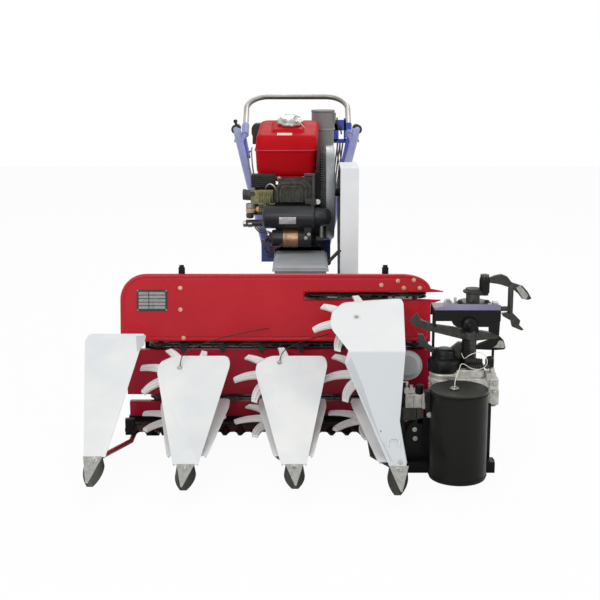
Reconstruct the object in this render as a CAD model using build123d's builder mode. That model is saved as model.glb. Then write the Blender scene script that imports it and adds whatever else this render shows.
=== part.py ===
from build123d import *
from math import atan2, cos, degrees, hypot, radians, sin, tan
import os

os.makedirs("parts", exist_ok=True)

# A walk-behind reaper binder, in millimetres. X runs across the machine, Y runs back from the
# divider toes towards the handles, Z runs up from the floor. "Behind" is measured from the toe tips.

# Driving dimensions of the whole machine
LENGTH = 2150.0
HEIGHT = 1112.0
TIP_Y = -LENGTH / 2
TRACTOR_X = -23.0
SHEET = 2.5
RUNNING_GAP = 0.5
SEAT_GAP = 0.3

# Wheels and axle
WHEEL_RADIUS = 205.0
TYRE_WIDTH = 96.0
TRACK = 560.0
AXLE_BEHIND = 1130.0
RIM_RADIUS = 104.0
LUG_HEIGHT = 14.0
LUG_PAIRS = 11
LUG_THICKNESS = 17.0
LUG_ANGLE = 32.0
LUG_OFFSET = 0.48
LUG_SHARE = 1.05
AXLE_RADIUS = 17.0
HUB_RADIUS = 30.0
HUB_LENGTH = 104.0

# Transmission casting
GEARBOX_WIDTH = 112.0
GEARBOX_TOP = 419.7
AXLE_TUBE_RADIUS = 33.0

# Chassis rails and engine stand
RAIL_SPACING = 150.0
RAIL_WIDTH = 36.0
RAIL_DEPTH = 48.0
RAIL_TOP = 420.0
DECK = 8.0
DECK_FRONT = 820.0
DECK_REAR = 1430.0
STAND_TOP = 586.0
STAND_FRONT = 1165.0
STAND_REAR = 1400.0
STAND_HALF = 92.0

# Engine
ENGINE_X = -27.0
CRANKCASE_WIDTH = 150.0
CRANKCASE_TOP = 745.0
FIN_TOP = 836.0
FIN = 4.0
FIN_PITCH = 11.0
FLYWHEEL_RADIUS = 177.0
FLYWHEEL_Z = 773.0
FLYWHEEL_BEHIND = 1290.0
FLYWHEEL_LEFT = 66.0
FLYWHEEL_RIGHT = 111.0
RING_TEETH = 48
STARTER_RADIUS = 42.0
STARTER_Z = 705.0
STARTER_BEHIND = 1084.0
SOLENOID_RADIUS = 32.0
SOLENOID_Z = 626.0

# Fuel tank, air cleaner and silencer
TANK_LEFT = -190.0
TANK_RIGHT = 46.0
TANK_FRONT = 1250.0
TANK_REAR = 1450.0
TANK_BASE = 836.3
TANK_SEAM = 936.0
TANK_SHOULDER = 986.0
TANK_CROWN = 1040.0
CAP_RADIUS = 44.0
CLEANER_X = 72.0
CLEANER_BEHIND = 1522.0
CLEANER_RADIUS = 46.0
CLEANER_TOP = 1073.0

# Battery box
BOX_LEFT = -114.0
BOX_RIGHT = 80.0
BOX_FRONT = 815.0
BOX_REAR = 1148.0
BOX_TOP = 552.0
LID_HEIGHT = 18.0

# Belt drive and its guard
GUARD_WIDTH = 67.0
GUARD_TYRE_GAP = 15.0
GUARD_RIGHT = TRACTOR_X + TRACK / 2 - TYRE_WIDTH / 2 - GUARD_TYRE_GAP
GUARD_LEFT = GUARD_RIGHT - GUARD_WIDTH
GUARD_FRONT = 1000.0
GUARD_TOP = 895.0
GUARD_BASE = 300.0
GUARD_REACH = 98.0
PULLEY_X = (GUARD_LEFT + GUARD_RIGHT) / 2
PULLEY_WIDTH = 30.0
ENGINE_PULLEY_RADIUS = 62.0
LOWER_PULLEY_RADIUS = 88.0
LOWER_PULLEY_BEHIND = 1130.0
LOWER_PULLEY_Z = 410.0
BELT_THICKNESS = 10.0
RAIL_EDGE = TRACTOR_X + RAIL_SPACING / 2 + RAIL_WIDTH / 2

# Handles
HANDLE_FOOT_BEHIND = 1380.0
HANDLE_FOOT_Z = 560.0
HANDLE_X = -36.0
HANDLE_FOOT_HALF = 121.0
HANDLE_TOP_BEHIND = 1950.0
HANDLE_TOP_Z = 956.0
HANDLE_TOP_HALF = 259.0
HANDLE_WIDE = 30.0
HANDLE_HIGH = 42.0
BAR_RADIUS = 12.0
BAR_LEFT = -258.0
BAR_RIGHT = 190.0
BAR_SOCKET_Z = 985.0
BAR_BEND = 95.0
GRIP_RADIUS = 17.0
GRIP_LENGTH = 120.0

# Header
PANEL_LEFT = -628.0
PANEL_RIGHT = 425.0
PANEL_BEHIND = 632.0
PANEL_FOLD = 26.0
UPPER_BASE = 343.0
UPPER_TOP = 571.0
UPPER_LEAN = 8.6
MIDDLE_BASE = 158.0
MIDDLE_TOP = 315.0
LOWER_BASE = 81.0
LOWER_TOP = 133.0
SLOT_BASE = 486.0
SLOT_HEIGHT = 23.0
SLOT_LEFT = -2.0
CHAIN_LEFT = -535.0
CORNER_LEFT = 88.0
BEAM_BASE = 200.0
BEAM_HEIGHT = 60.0
BEAM_DEPTH = 40.0
BEAM_BEHIND = 676.0
SHAFT_RADIUS = 9.0

# Lugged chains
CHAIN_HALF_DEPTH = 34.0
CHAIN_WIDTH = 12.0
CHAIN_HEIGHT = 13.0
CHAIN_PLATE = 2.5
LINK_PITCH = 46.0
CHAIN_LUG_PITCH = 124.0
CHAIN_LUG_REACH = 30.0
CHAIN_LUG_WIDTH = 62.0
LOWER_CHAIN_Z = 146.0
MIDDLE_CHAIN_Z = 329.0
TOP_CHAIN_Z = 495.0
TOP_CHAIN_BEHIND = 692.0
SPROCKET_RADIUS = 27.0
UPRIGHTS = (-388, 258)
UPRIGHT_THICKNESS = 6.5
UPRIGHT_TOP = 596.0

# Cutter bar
BAR_FRONT = 530.0
BAR_BACK = 704.0
BAR_BASE = 58.0
BAR_THICKNESS = 10.0
TOOTH_PITCH = 50.8
TOOTH_TIP = 489.0
KNIFE = 3.0
SKIDS = (-530, 330)
SKID_REAR = 850.0
ARM_ROOT = 620.0
COVER_STAY = (-578, 462, 394.5)

# Star wheels
STAR_RADIUS = 144.0
STAR_FINGERS = 7
STAR_THICKNESS = 11.0
STAR_HUB_RADIUS = 29.0
STAR_HUB_HEIGHT = 24.0
SPINDLE_RADIUS = 8.0

# Twine can
CAN_RADIUS = 89.0
CAN_X = 468.0
CAN_BEHIND = 200.0
CAN_BASE = 22.0
CAN_TOP = 300.0
TWINE_RADIUS = 1.25

# Star wheels: name, spindle x, centre distance behind the toe tips, centre height, slope in degrees,
# turn of the first finger in degrees, top end of the spindle over the centre
STARS = (
    ("star_2_upper", -407, 470, 268, 26, 0, 55.3),
    ("star_2_lower", -406, 483, 117, 9.5, 0, 72.9),
    ("star_3_upper", -93, 470, 268, 26, 25, 55.3),
    ("star_3_lower", -93, 483, 117, 9.5, 25, 72.9),
    ("star_4_top", 164, 472, 442, 28, 28.5, 50.3),
    ("star_4_upper", 197, 470, 270, 26, 25, 30),
    ("star_4_lower", 213, 483, 117, 9.5, 50, 72.9),
)

# Dividers: number, x and height of the toe's back edge, x and height of its tip
DIVIDERS = (
    ("1", -631.5, 126, -631, 65),
    ("2", -359, 102, -358, 54),
    ("3", -34, 102, -31, 59),
    ("4", 275.5, 96, 269, 39),
)

# Divider covers: name, side-view profile as (behind, z), front-view outline as (x, z), corner radii
COVERS = (
    (
        "cover_1", ((88.6, 126.4), (470, 411)),
        ((-658, 100), (-605, 100), (-521, 411), (-716, 411)), (0, 0, 6, 22),
    ),
    (
        "cover_2_upper", ((89.2, 102.8), (470, 337)),
        ((-389, 80), (-329, 80), (-236, 337), (-424, 337), (-473, 319), (-478, 300)), (0, 0, 22, 60, 16, 22),
    ),
    (
        "cover_2_lower", ((135, 113.8), (470, 192)),
        ((-396, 80), (-322, 80), (-238, 192), (-480, 192)), (0, 0, 10, 10),
    ),
    (
        "cover_3_upper", ((89.2, 102.8), (470, 337)),
        ((-64, 80), (-4, 80), (78, 337), (-108, 337), (-157, 319), (-162, 300)), (0, 0, 22, 60, 16, 22),
    ),
    (
        "cover_3_lower", ((135, 113.8), (470, 192)),
        ((-70, 80), (2, 80), (76, 192), (-164, 192)), (0, 0, 10, 10),
    ),
    (
        "cover_4_upper", ((88.6, 96.4), (300, 398), (500, 522.4)),
        (
            (258, 80), (304, 80), (286, 211), (311, 398), (318, 522), (122, 509), (86, 488), (79, 464),
            (85, 446), (134, 398), (121, 366),
        ),
        (0, 0, 0, 0, 14, 40, 18, 18, 22, 0, 12),
    ),
    (
        "cover_4_lower", ((106, 105), (470, 192)),
        ((238, 80), (306, 80), (297, 192), (140, 192)), (0, 0, 0, 8),
    ),
)
COVER_FOLD = 9.0
COVER_SLOPE = 31.4

# Toes and arms of the dividers
TOE_LENGTH = 88.0
TOE_HALF = 26.0
TOE_DEPTH = 28.0
TOE_LIP = 6.0
TOE_FACE = 0.9
ARM_RADIUS = 8.0
ARM_SEAT = 14.0
ARM_Z = 46.0
ARM_KNEE = 330.0
LEFT_ARM_SHIFT = 54.5
LEFT_ARM_KNEE = 470.0
STRUT_DROP = 46.0

# Stalk wires, from their bolt on the cover to their free end, as (x, behind, z)
SPRING_PATHS = (
    ((-405, 446, 322.2), (-401, 443, 338), (-372, 478, 357), (-300, 545, 373), (-123, 622, 393)),
    ((-100, 446, 322.2), (-96, 443, 338), (-72, 480, 356), (-10, 545, 367), (80, 622, 373)),
)
SPRING_RADIUS = 1.6
SPRING_BEND = 14.0

# Twine, as (x, behind, z) from the eyelet in the lid
EYELET_X = 451.0
EYELET_BEHIND = 185.0
TWINE_ROUTE = (
    (451, 185, 302), (451, 185, 326), (459, 206, 344), (471, 235, 356), (482, 268, 364),
    (502, 292, 360), (526, 303, 346), (556, 304, 342), (575, 300, 358), (566, 297, 382),
    (542, 298, 393), (516, 302, 382), (504, 318, 368), (500, 350, 360), (498, 401.7, 366),
)
TWINE_BEND = 8.0


def place(x, behind, z):
    """A point of the machine, with its distance behind the toe tips."""
    return Vector(x, TIP_Y + behind, z)


def keep(piece, name):
    """Labels a finished piece and writes it."""
    piece.part.label = name
    export_step(piece.part, f"parts/{name}.step")


def block(left, right, front, rear, base, top, mode=Mode.ADD):
    """A box between six named faces."""
    centre = place((left + right) / 2, (front + rear) / 2, (base + top) / 2)
    with Locations(centre):
        Box(right - left, rear - front, top - base, mode=mode)


def rod(start, end, radius, mode=Mode.ADD):
    """A straight round bar between two points."""
    with BuildSketch(Plane(origin=start, z_dir=end - start)) as section:
        Circle(radius)
    extrude(section.sketch, amount=(end - start).length, mode=mode)


def bent_rod(points, radius, bend):
    """A round bar along points, with one bend radius."""
    with BuildLine() as path:
        FilletPolyline(*points, radius=bend)
    with BuildSketch(Plane(origin=path.line @ 0, z_dir=path.line % 0)) as section:
        Circle(radius)
    sweep(section.sketch, path=path.line)


def across(x, behind, z):
    """A plane that faces +X, with its sketch x running back and its sketch y up."""
    return Plane(origin=place(x, behind, z), x_dir=(0, 1, 0), z_dir=(1, 0, 0))


def facing(x, behind, z, lean):
    """A plane that faces forward, with its top leaning back by the given degrees."""
    tilt = radians(lean)
    return Plane(origin=place(x, behind, z), x_dir=(1, 0, 0), z_dir=(0, -cos(tilt), sin(tilt)))


def sloping(x, behind, z, slope):
    """A plane that rises towards the back by the given degrees, facing up and forward."""
    tilt = radians(slope)
    return Plane(origin=place(x, behind, z), x_dir=(1, 0, 0), z_dir=(0, -sin(tilt), cos(tilt)))


# Driven wheels, each a rubber tyre on a pressed rim with a long hub
def make_wheel(side, name):
    centre = place(TRACTOR_X + side * TRACK / 2, AXLE_BEHIND, WHEEL_RADIUS)
    axis = Axis(centre, (1, 0, 0))
    section = Plane(origin=centre, x_dir=(1, 0, 0), z_dir=(0, -1, 0))
    carcass = WHEEL_RADIUS - LUG_HEIGHT
    half = TYRE_WIDTH / 2
    bead = half - 14

    with BuildPart() as tyre:
        with BuildSketch(section):
            with BuildLine():
                Polyline(
                    (-bead, RIM_RADIUS), (bead, RIM_RADIUS), (bead, RIM_RADIUS + 12),
                    (half, RIM_RADIUS + 30), (half + 2, carcass - 22), (half - 4, carcass),
                    (4 - half, carcass), (-half - 2, carcass - 22), (-half, RIM_RADIUS + 30),
                    (-bead, RIM_RADIUS + 12), close=True,
                )
            make_face()
        revolve(axis=axis)
        seats = []
        for pair in range(LUG_PAIRS):
            for hand in (-1, 1):
                turn = 360 / LUG_PAIRS * (pair + (0.5 if hand > 0 else 0))
                seat = Location(centre) * Location((0, 0, 0), (1, 0, 0), turn)
                seat = seat * Location((hand * half * LUG_OFFSET, 0, -carcass))
                seats.append(seat * Location((0, 0, 0), (0, 0, 1), hand * LUG_ANGLE))
        with Locations(*seats):
            Box(half * LUG_SHARE, LUG_THICKNESS, 2 * LUG_HEIGHT)
    keep(tyre, f"tyre_{name}")

    barrel = RIM_RADIUS - SEAT_GAP
    with BuildPart() as rim:
        with BuildSketch(section):
            with BuildLine():
                Polyline(
                    (-bead - 5, RIM_RADIUS + 11), (-bead - 5, barrel - 6), (-2, barrel - 6),
                    (-2, HUB_RADIUS), (half - 4 - HUB_LENGTH, HUB_RADIUS),
                    (half - 4 - HUB_LENGTH, AXLE_RADIUS + RUNNING_GAP),
                    (half - 4, AXLE_RADIUS + RUNNING_GAP), (half - 4, HUB_RADIUS), (6, HUB_RADIUS),
                    (6, barrel - 6), (bead + 5, barrel - 6), (bead + 5, RIM_RADIUS + 11),
                    (bead + SEAT_GAP, RIM_RADIUS + 11), (bead + SEAT_GAP, barrel),
                    (-bead - SEAT_GAP, barrel), (-bead - SEAT_GAP, RIM_RADIUS + 11), close=True,
                )
            make_face()
            if side < 0:
                mirror(about=Plane.YZ, mode=Mode.REPLACE)
        revolve(axis=axis)
        face = Plane(origin=centre, x_dir=(0, 1, 0), z_dir=(1, 0, 0))
        with BuildSketch(face.offset(-20)):
            with PolarLocations(HUB_RADIUS + 34, 5):
                Circle(14)
        extrude(amount=40, mode=Mode.SUBTRACT)
    keep(rim, f"rim_{name}")


# Transmission casting with the axle through it
def make_gearbox():
    left = TRACTOR_X - GEARBOX_WIDTH / 2
    right = TRACTOR_X + GEARBOX_WIDTH / 2
    shaft_end = TRACK / 2 + TYRE_WIDTH / 2 - 6
    tube_end = TRACK / 2 - HUB_LENGTH + TYRE_WIDTH / 2 - 8
    with BuildPart() as gearbox:
        with BuildSketch(across(left, AXLE_BEHIND, WHEEL_RADIUS)):
            with BuildLine():
                JernArc((0, -88), (1, 0), 88, 90)
                Line((88, 0), (70, GEARBOX_TOP - WHEEL_RADIUS - 20))
                Line((70, GEARBOX_TOP - WHEEL_RADIUS - 20), (56, GEARBOX_TOP - WHEEL_RADIUS))
                Line((56, GEARBOX_TOP - WHEEL_RADIUS), (-70, GEARBOX_TOP - WHEEL_RADIUS))
                Line((-70, GEARBOX_TOP - WHEEL_RADIUS), (-88, 0))
                ThreePointArc((-88, 0), (-62.2, -62.2), (0, -88))
            make_face()
        extrude(amount=GEARBOX_WIDTH)
        with BuildSketch(across(TRACTOR_X - 5, AXLE_BEHIND, WHEEL_RADIUS)):
            Circle(98)
        extrude(amount=10)
        rod(
            place(TRACTOR_X - tube_end, AXLE_BEHIND, WHEEL_RADIUS),
            place(TRACTOR_X + tube_end, AXLE_BEHIND, WHEEL_RADIUS), AXLE_TUBE_RADIUS,
        )
        for side in (-1, 1):
            face = TRACTOR_X + side * GEARBOX_WIDTH / 2
            rod(
                place(face, AXLE_BEHIND, WHEEL_RADIUS),
                place(face + side * 14, AXLE_BEHIND, WHEEL_RADIUS), 58,
            )
        rod(
            place(TRACTOR_X - shaft_end, AXLE_BEHIND, WHEEL_RADIUS),
            place(TRACTOR_X + shaft_end, AXLE_BEHIND, WHEEL_RADIUS), AXLE_RADIUS,
        )
    keep(gearbox, "gearbox")


# Welded chassis: two rails that reach forward to the header beam, a deck and the engine stand
def make_chassis():
    beam_rear = BEAM_BEHIND + BEAM_DEPTH / 2
    with BuildPart() as chassis:
        for side in (-1, 1):
            middle = TRACTOR_X + side * RAIL_SPACING / 2
            with BuildSketch(across(middle - RAIL_WIDTH / 2, 0, 0)):
                with BuildLine():
                    Polyline(
                        (beam_rear, BEAM_BASE + 4), (beam_rear, BEAM_BASE + BEAM_HEIGHT - 4),
                        (800, BEAM_BASE + BEAM_HEIGHT - 4), (930, RAIL_TOP),
                        (DECK_REAR, RAIL_TOP), (DECK_REAR, RAIL_TOP - RAIL_DEPTH),
                        (950, RAIL_TOP - RAIL_DEPTH), (820, BEAM_BASE + 4), close=True,
                    )
                make_face()
            extrude(amount=RAIL_WIDTH)
        half = RAIL_SPACING / 2 + RAIL_WIDTH / 2
        block(TRACTOR_X - half, TRACTOR_X + half, DECK_FRONT, DECK_REAR, RAIL_TOP, RAIL_TOP + DECK)
        for side in (-1, 1):
            edge = TRACTOR_X + side * (STAND_HALF - 4)
            block(edge - 4, edge + 4, STAND_FRONT, STAND_REAR, RAIL_TOP + DECK, STAND_TOP)
        block(
            TRACTOR_X - STAND_HALF, TRACTOR_X + STAND_HALF, STAND_FRONT, STAND_REAR,
            STAND_TOP - DECK, STAND_TOP,
        )
        block(
            TRACTOR_X - STAND_HALF, TRACTOR_X + STAND_HALF, STAND_REAR - DECK, STAND_REAR,
            RAIL_TOP + DECK, STAND_TOP,
        )
        brace_top = RAIL_TOP - RAIL_DEPTH + 4
        block(TRACTOR_X - half, TRACTOR_X + half, 990, 1020, brace_top, RAIL_TOP)
    keep(chassis, "chassis")


# Engine: crankcase block, finned cylinder and head, flywheel housing
def make_engine():
    left = ENGINE_X - CRANKCASE_WIDTH / 2
    right = ENGINE_X + CRANKCASE_WIDTH / 2
    with BuildPart() as crankcase:
        with BuildSketch(across(left, 0, 0)):
            with BuildLine():
                Polyline(
                    (1176, STAND_TOP), (1390, STAND_TOP), (1390, 700), (1360, CRANKCASE_TOP),
                    (1190, CRANKCASE_TOP), (1164, 715), (1164, 620), close=True,
                )
            make_face()
        extrude(amount=CRANKCASE_WIDTH)
        rod(
            place(right, FLYWHEEL_BEHIND, FLYWHEEL_Z - 60),
            place(FLYWHEEL_LEFT, FLYWHEEL_BEHIND, FLYWHEEL_Z - 60), 70,
        )
        rod(
            place(left - 16, FLYWHEEL_BEHIND + 60, FLYWHEEL_Z - 70),
            place(left, FLYWHEEL_BEHIND + 60, FLYWHEEL_Z - 70), 56,
        )
    keep(crankcase, "crankcase")

    with BuildPart() as head:
        block(left + 12, right - 12, 1190, 1356, CRANKCASE_TOP, FIN_TOP)
        for row in range(int((FIN_TOP - CRANKCASE_TOP) / FIN_PITCH)):
            level = CRANKCASE_TOP + 3 + row * FIN_PITCH
            block(left, right, 1178, 1368, level, level + FIN)
        with BuildSketch(facing(ENGINE_X + 3, 1190, CRANKCASE_TOP + 6, 0)):
            with Locations((0, 28)):
                Rectangle(96, 56)
            with Locations((0, 56)):
                SlotOverall(96, 48)
        extrude(amount=34)
    keep(head, "cylinder_head")

    with BuildPart() as housing:
        with BuildSketch(across(FLYWHEEL_LEFT, FLYWHEEL_BEHIND, FLYWHEEL_Z)):
            Circle(FLYWHEEL_RADIUS)
        extrude(amount=FLYWHEEL_RIGHT - FLYWHEEL_LEFT)
        outer = housing.faces().sort_by(Axis.X)[-1]
        fillet(outer.edges(), 14)
        with BuildSketch(across(FLYWHEEL_LEFT - 7, FLYWHEEL_BEHIND, FLYWHEEL_Z)):
            Circle(FLYWHEEL_RADIUS - 12)
            with PolarLocations(FLYWHEEL_RADIUS - 12, RING_TEETH):
                Rectangle(14, 8)
            Circle(FLYWHEEL_RADIUS - 40, mode=Mode.SUBTRACT)
        extrude(amount=7)
        with BuildSketch(across(FLYWHEEL_RIGHT, FLYWHEEL_BEHIND, FLYWHEEL_Z)):
            with PolarLocations(100, 16):
                SlotOverall(56, 12)
        extrude(amount=-6, mode=Mode.SUBTRACT)
    keep(housing, "flywheel_housing")


# Starter motor with its solenoid below, in front of the crankcase
def make_starter():
    with BuildPart() as starter:
        rod(place(-146, STARTER_BEHIND, STARTER_Z), place(22, STARTER_BEHIND, STARTER_Z), STARTER_RADIUS)
        rod(place(22, STARTER_BEHIND, STARTER_Z), place(34, STARTER_BEHIND, STARTER_Z), STARTER_RADIUS + 3.5)
        with BuildSketch(across(34, STARTER_BEHIND, STARTER_Z)):
            Circle(STARTER_RADIUS - 8)
        with BuildSketch(across(FLYWHEEL_LEFT - 10, STARTER_BEHIND + 6, STARTER_Z)):
            Circle(STARTER_RADIUS - 18)
        loft()
        rod(
            place(-118, STARTER_BEHIND, SOLENOID_Z), place(22, STARTER_BEHIND, SOLENOID_Z),
            SOLENOID_RADIUS,
        )
        block(-4, 22, STARTER_BEHIND - 22, STARTER_BEHIND + 22, SOLENOID_Z, STARTER_Z)
        block(-90, 10, STARTER_BEHIND + 10, 1164, SOLENOID_Z - 18, STARTER_Z + 10)
    keep(starter, "starter_motor")


# Injection pump, filter and banjo bodies on the left of the engine
def make_pump():
    left = ENGINE_X - CRANKCASE_WIDTH / 2
    with BuildPart() as pump:
        block(left - 66, left, 1180, 1240, 742, 796)
        rod(place(left - 122, 1205, 772), place(left - 66, 1205, 772), 20)
        rod(place(left - 112, 1196, 718), place(left, 1196, 718), 21)
        rod(place(left - 122, 1188, 668), place(left, 1188, 668), 13)
        block(left - 50, left - 30, 1176, 1216, 655, 750)
    keep(pump, "injection_pump")


# Fuel tank: two pressings with a seam, a hipped top and a filler neck
def make_tank():
    width = TANK_RIGHT - TANK_LEFT
    depth = TANK_REAR - TANK_FRONT
    middle = place((TANK_LEFT + TANK_RIGHT) / 2, (TANK_FRONT + TANK_REAR) / 2, 0)
    with BuildPart() as tank:
        with BuildSketch(Plane(origin=middle + Vector(0, 0, TANK_BASE))):
            RectangleRounded(width - 18, depth - 18, 24)
        with BuildSketch(Plane(origin=middle + Vector(0, 0, TANK_SEAM))):
            RectangleRounded(width - 4, depth - 4, 24)
        loft()
        with BuildSketch(Plane(origin=middle + Vector(0, 0, TANK_SEAM - 3))):
            RectangleRounded(width + 8, depth + 8, 28)
        extrude(amount=6)
        with BuildSketch(Plane(origin=middle + Vector(0, 0, TANK_SEAM))):
            RectangleRounded(width - 2, depth - 2, 24)
        extrude(amount=TANK_SHOULDER - TANK_SEAM)
        with BuildSketch(Plane(origin=middle + Vector(0, 0, TANK_SHOULDER))):
            RectangleRounded(width - 2, depth - 2, 24)
        with BuildSketch(Plane(origin=middle + Vector(0, 22, TANK_CROWN))):
            RectangleRounded(width - 52, depth - 74, 18)
        loft()
        with BuildSketch(Plane(origin=middle + Vector(10, 22, TANK_CROWN))):
            Circle(CAP_RADIUS - 14)
        extrude(amount=6)
        with BuildSketch(Plane(origin=middle + Vector(10, 22, TANK_CROWN + 6))):
            Circle(CAP_RADIUS)
        extrude(amount=12)
        with BuildSketch(Plane(origin=middle + Vector(10, 22, TANK_CROWN + 18))):
            Circle(CAP_RADIUS - 12)
        extrude(amount=10)
        fillet(tank.edges().group_by(Axis.Z)[-1], 4)
    keep(tank, "fuel_tank")


# Upright air cleaner can and the silencer behind the tank
def make_cleaner():
    with BuildPart() as cleaner:
        with BuildSketch(Plane(origin=place(CLEANER_X, CLEANER_BEHIND, 800))):
            Circle(CLEANER_RADIUS - 3)
        extrude(amount=CLEANER_TOP - 800)
        with BuildSketch(Plane(origin=place(CLEANER_X, CLEANER_BEHIND, CLEANER_TOP - 70))):
            Circle(CLEANER_RADIUS)
        extrude(amount=62)
        fillet(cleaner.edges().group_by(Axis.Z)[-1], 6)
        block(-10, CLEANER_X - 30, 1368, CLEANER_BEHIND, 800, 832)
    keep(cleaner, "air_cleaner")

    with BuildPart() as silencer:
        block(-212, -120, 1462, 1546, 968, 1022)
        fillet(silencer.edges().filter_by(Axis.Y), 20)
        rod(place(-150, 1500, 800), place(-150, 1500, 980), 16)
        rod(place(-150, 1500, 812), place(-80, 1382, 812), 14)
        rod(place(-80, 1384, 812), place(-80, 1368 + SEAT_GAP, 812), 16)
        rod(place(-196, 1504, 940), place(-196, 1504, 972), 14)
    keep(silencer, "silencer")


# Battery box with a lipped lid, on the front of the deck
def make_battery_box():
    with BuildPart() as box:
        block(BOX_LEFT + 6, BOX_RIGHT - 6, BOX_FRONT + 6, BOX_REAR - 6, RAIL_TOP + DECK, BOX_TOP)
        fillet(box.edges().filter_by(Axis.Z), 8)
        middle = place((BOX_LEFT + BOX_RIGHT) / 2, (BOX_FRONT + BOX_REAR) / 2, BOX_TOP)
        with BuildSketch(Plane(origin=middle)):
            RectangleRounded(BOX_RIGHT - BOX_LEFT, BOX_REAR - BOX_FRONT, 10)
        extrude(amount=LID_HEIGHT - 6)
        with BuildSketch(Plane(origin=middle + Vector(0, 0, LID_HEIGHT - 6))):
            RectangleRounded(BOX_RIGHT - BOX_LEFT - 10, BOX_REAR - BOX_FRONT - 10, 8)
        extrude(amount=6, taper=20)
    keep(box, "battery_box")


# Belt drive: engine pulley, lower pulley, belt and the tall guard round them
def make_belt_drive():
    upper = (FLYWHEEL_BEHIND, FLYWHEEL_Z)
    lower = (LOWER_PULLEY_BEHIND, LOWER_PULLEY_Z)
    left = PULLEY_X - PULLEY_WIDTH / 2
    with BuildPart() as pulleys:
        for (behind, z), radius in ((upper, ENGINE_PULLEY_RADIUS), (lower, LOWER_PULLEY_RADIUS)):
            with BuildSketch(across(left, behind, z)):
                Circle(radius - BELT_THICKNESS - SEAT_GAP)
            extrude(amount=PULLEY_WIDTH)
            for face in (left, left + PULLEY_WIDTH - 4):
                with BuildSketch(across(face, behind, z)):
                    Circle(radius)
                extrude(amount=4)
        rod(place(FLYWHEEL_RIGHT, *upper), place(left, *upper), 16)
        rod(place(TRACTOR_X + 94, *lower), place(left, *lower), 14)
        rod(place(TRACTOR_X + 93, *lower), place(TRACTOR_X + 106, *lower), 17)
    keep(pulleys, "drive_pulleys")

    with BuildPart() as belt:
        gap = PULLEY_WIDTH - 8 - 2 * RUNNING_GAP
        tilt = degrees(atan2(lower[1] - upper[1], lower[0] - upper[0]))
        span = hypot(lower[0] - upper[0], lower[1] - upper[1])
        grow = LOWER_PULLEY_RADIUS - ENGINE_PULLEY_RADIUS
        lean = degrees(atan2(grow, (span ** 2 - grow ** 2) ** 0.5))
        plane = across(PULLEY_X - gap / 2, 0, 0)
        for reach, mode in ((0, Mode.ADD), (-BELT_THICKNESS, Mode.SUBTRACT)):
            small = ENGINE_PULLEY_RADIUS + reach
            large = LOWER_PULLEY_RADIUS + reach
            side_a = radians(tilt + 90 + lean)
            side_b = radians(tilt - 90 - lean)
            with BuildSketch(plane):
                with Locations(upper):
                    Circle(small)
                with Locations(lower):
                    Circle(large)
                with BuildLine():
                    Polyline(
                        (upper[0] + small * cos(side_a), upper[1] + small * sin(side_a)),
                        (lower[0] + large * cos(side_a), lower[1] + large * sin(side_a)),
                        (lower[0] + large * cos(side_b), lower[1] + large * sin(side_b)),
                        (upper[0] + small * cos(side_b), upper[1] + small * sin(side_b)),
                        close=True,
                    )
                make_face()
            extrude(amount=gap, mode=mode)
    keep(belt, "drive_belt")

    with BuildPart() as guard:
        with BuildSketch(across(GUARD_LEFT, 0, 0)):
            with BuildLine():
                Polyline(
                    (GUARD_FRONT, GUARD_BASE), (GUARD_FRONT, GUARD_TOP),
                    (FLYWHEEL_BEHIND - 70, GUARD_TOP), (FLYWHEEL_BEHIND + GUARD_REACH, FLYWHEEL_Z + 47),
                    (FLYWHEEL_BEHIND + GUARD_REACH, FLYWHEEL_Z - 73),
                    (LOWER_PULLEY_BEHIND + 120, GUARD_BASE), close=True,
                )
            make_face()
        extrude(amount=GUARD_RIGHT - GUARD_LEFT)
        open_side = guard.faces().sort_by(Axis.X)[0]
        offset(amount=-SHEET, openings=[open_side])
        block(RAIL_EDGE, GUARD_LEFT + 8, GUARD_FRONT, GUARD_FRONT + 6, RAIL_TOP - 44, RAIL_TOP - 4)
    keep(guard, "belt_guard")


def bar_leg(x):
    """The foot and the top corner of one leg of the U-shaped bar, on its centre line."""
    return place(x, HANDLE_TOP_BEHIND, BAR_SOCKET_Z), place(x, LENGTH - BAR_RADIUS, HEIGHT - BAR_RADIUS)


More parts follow.
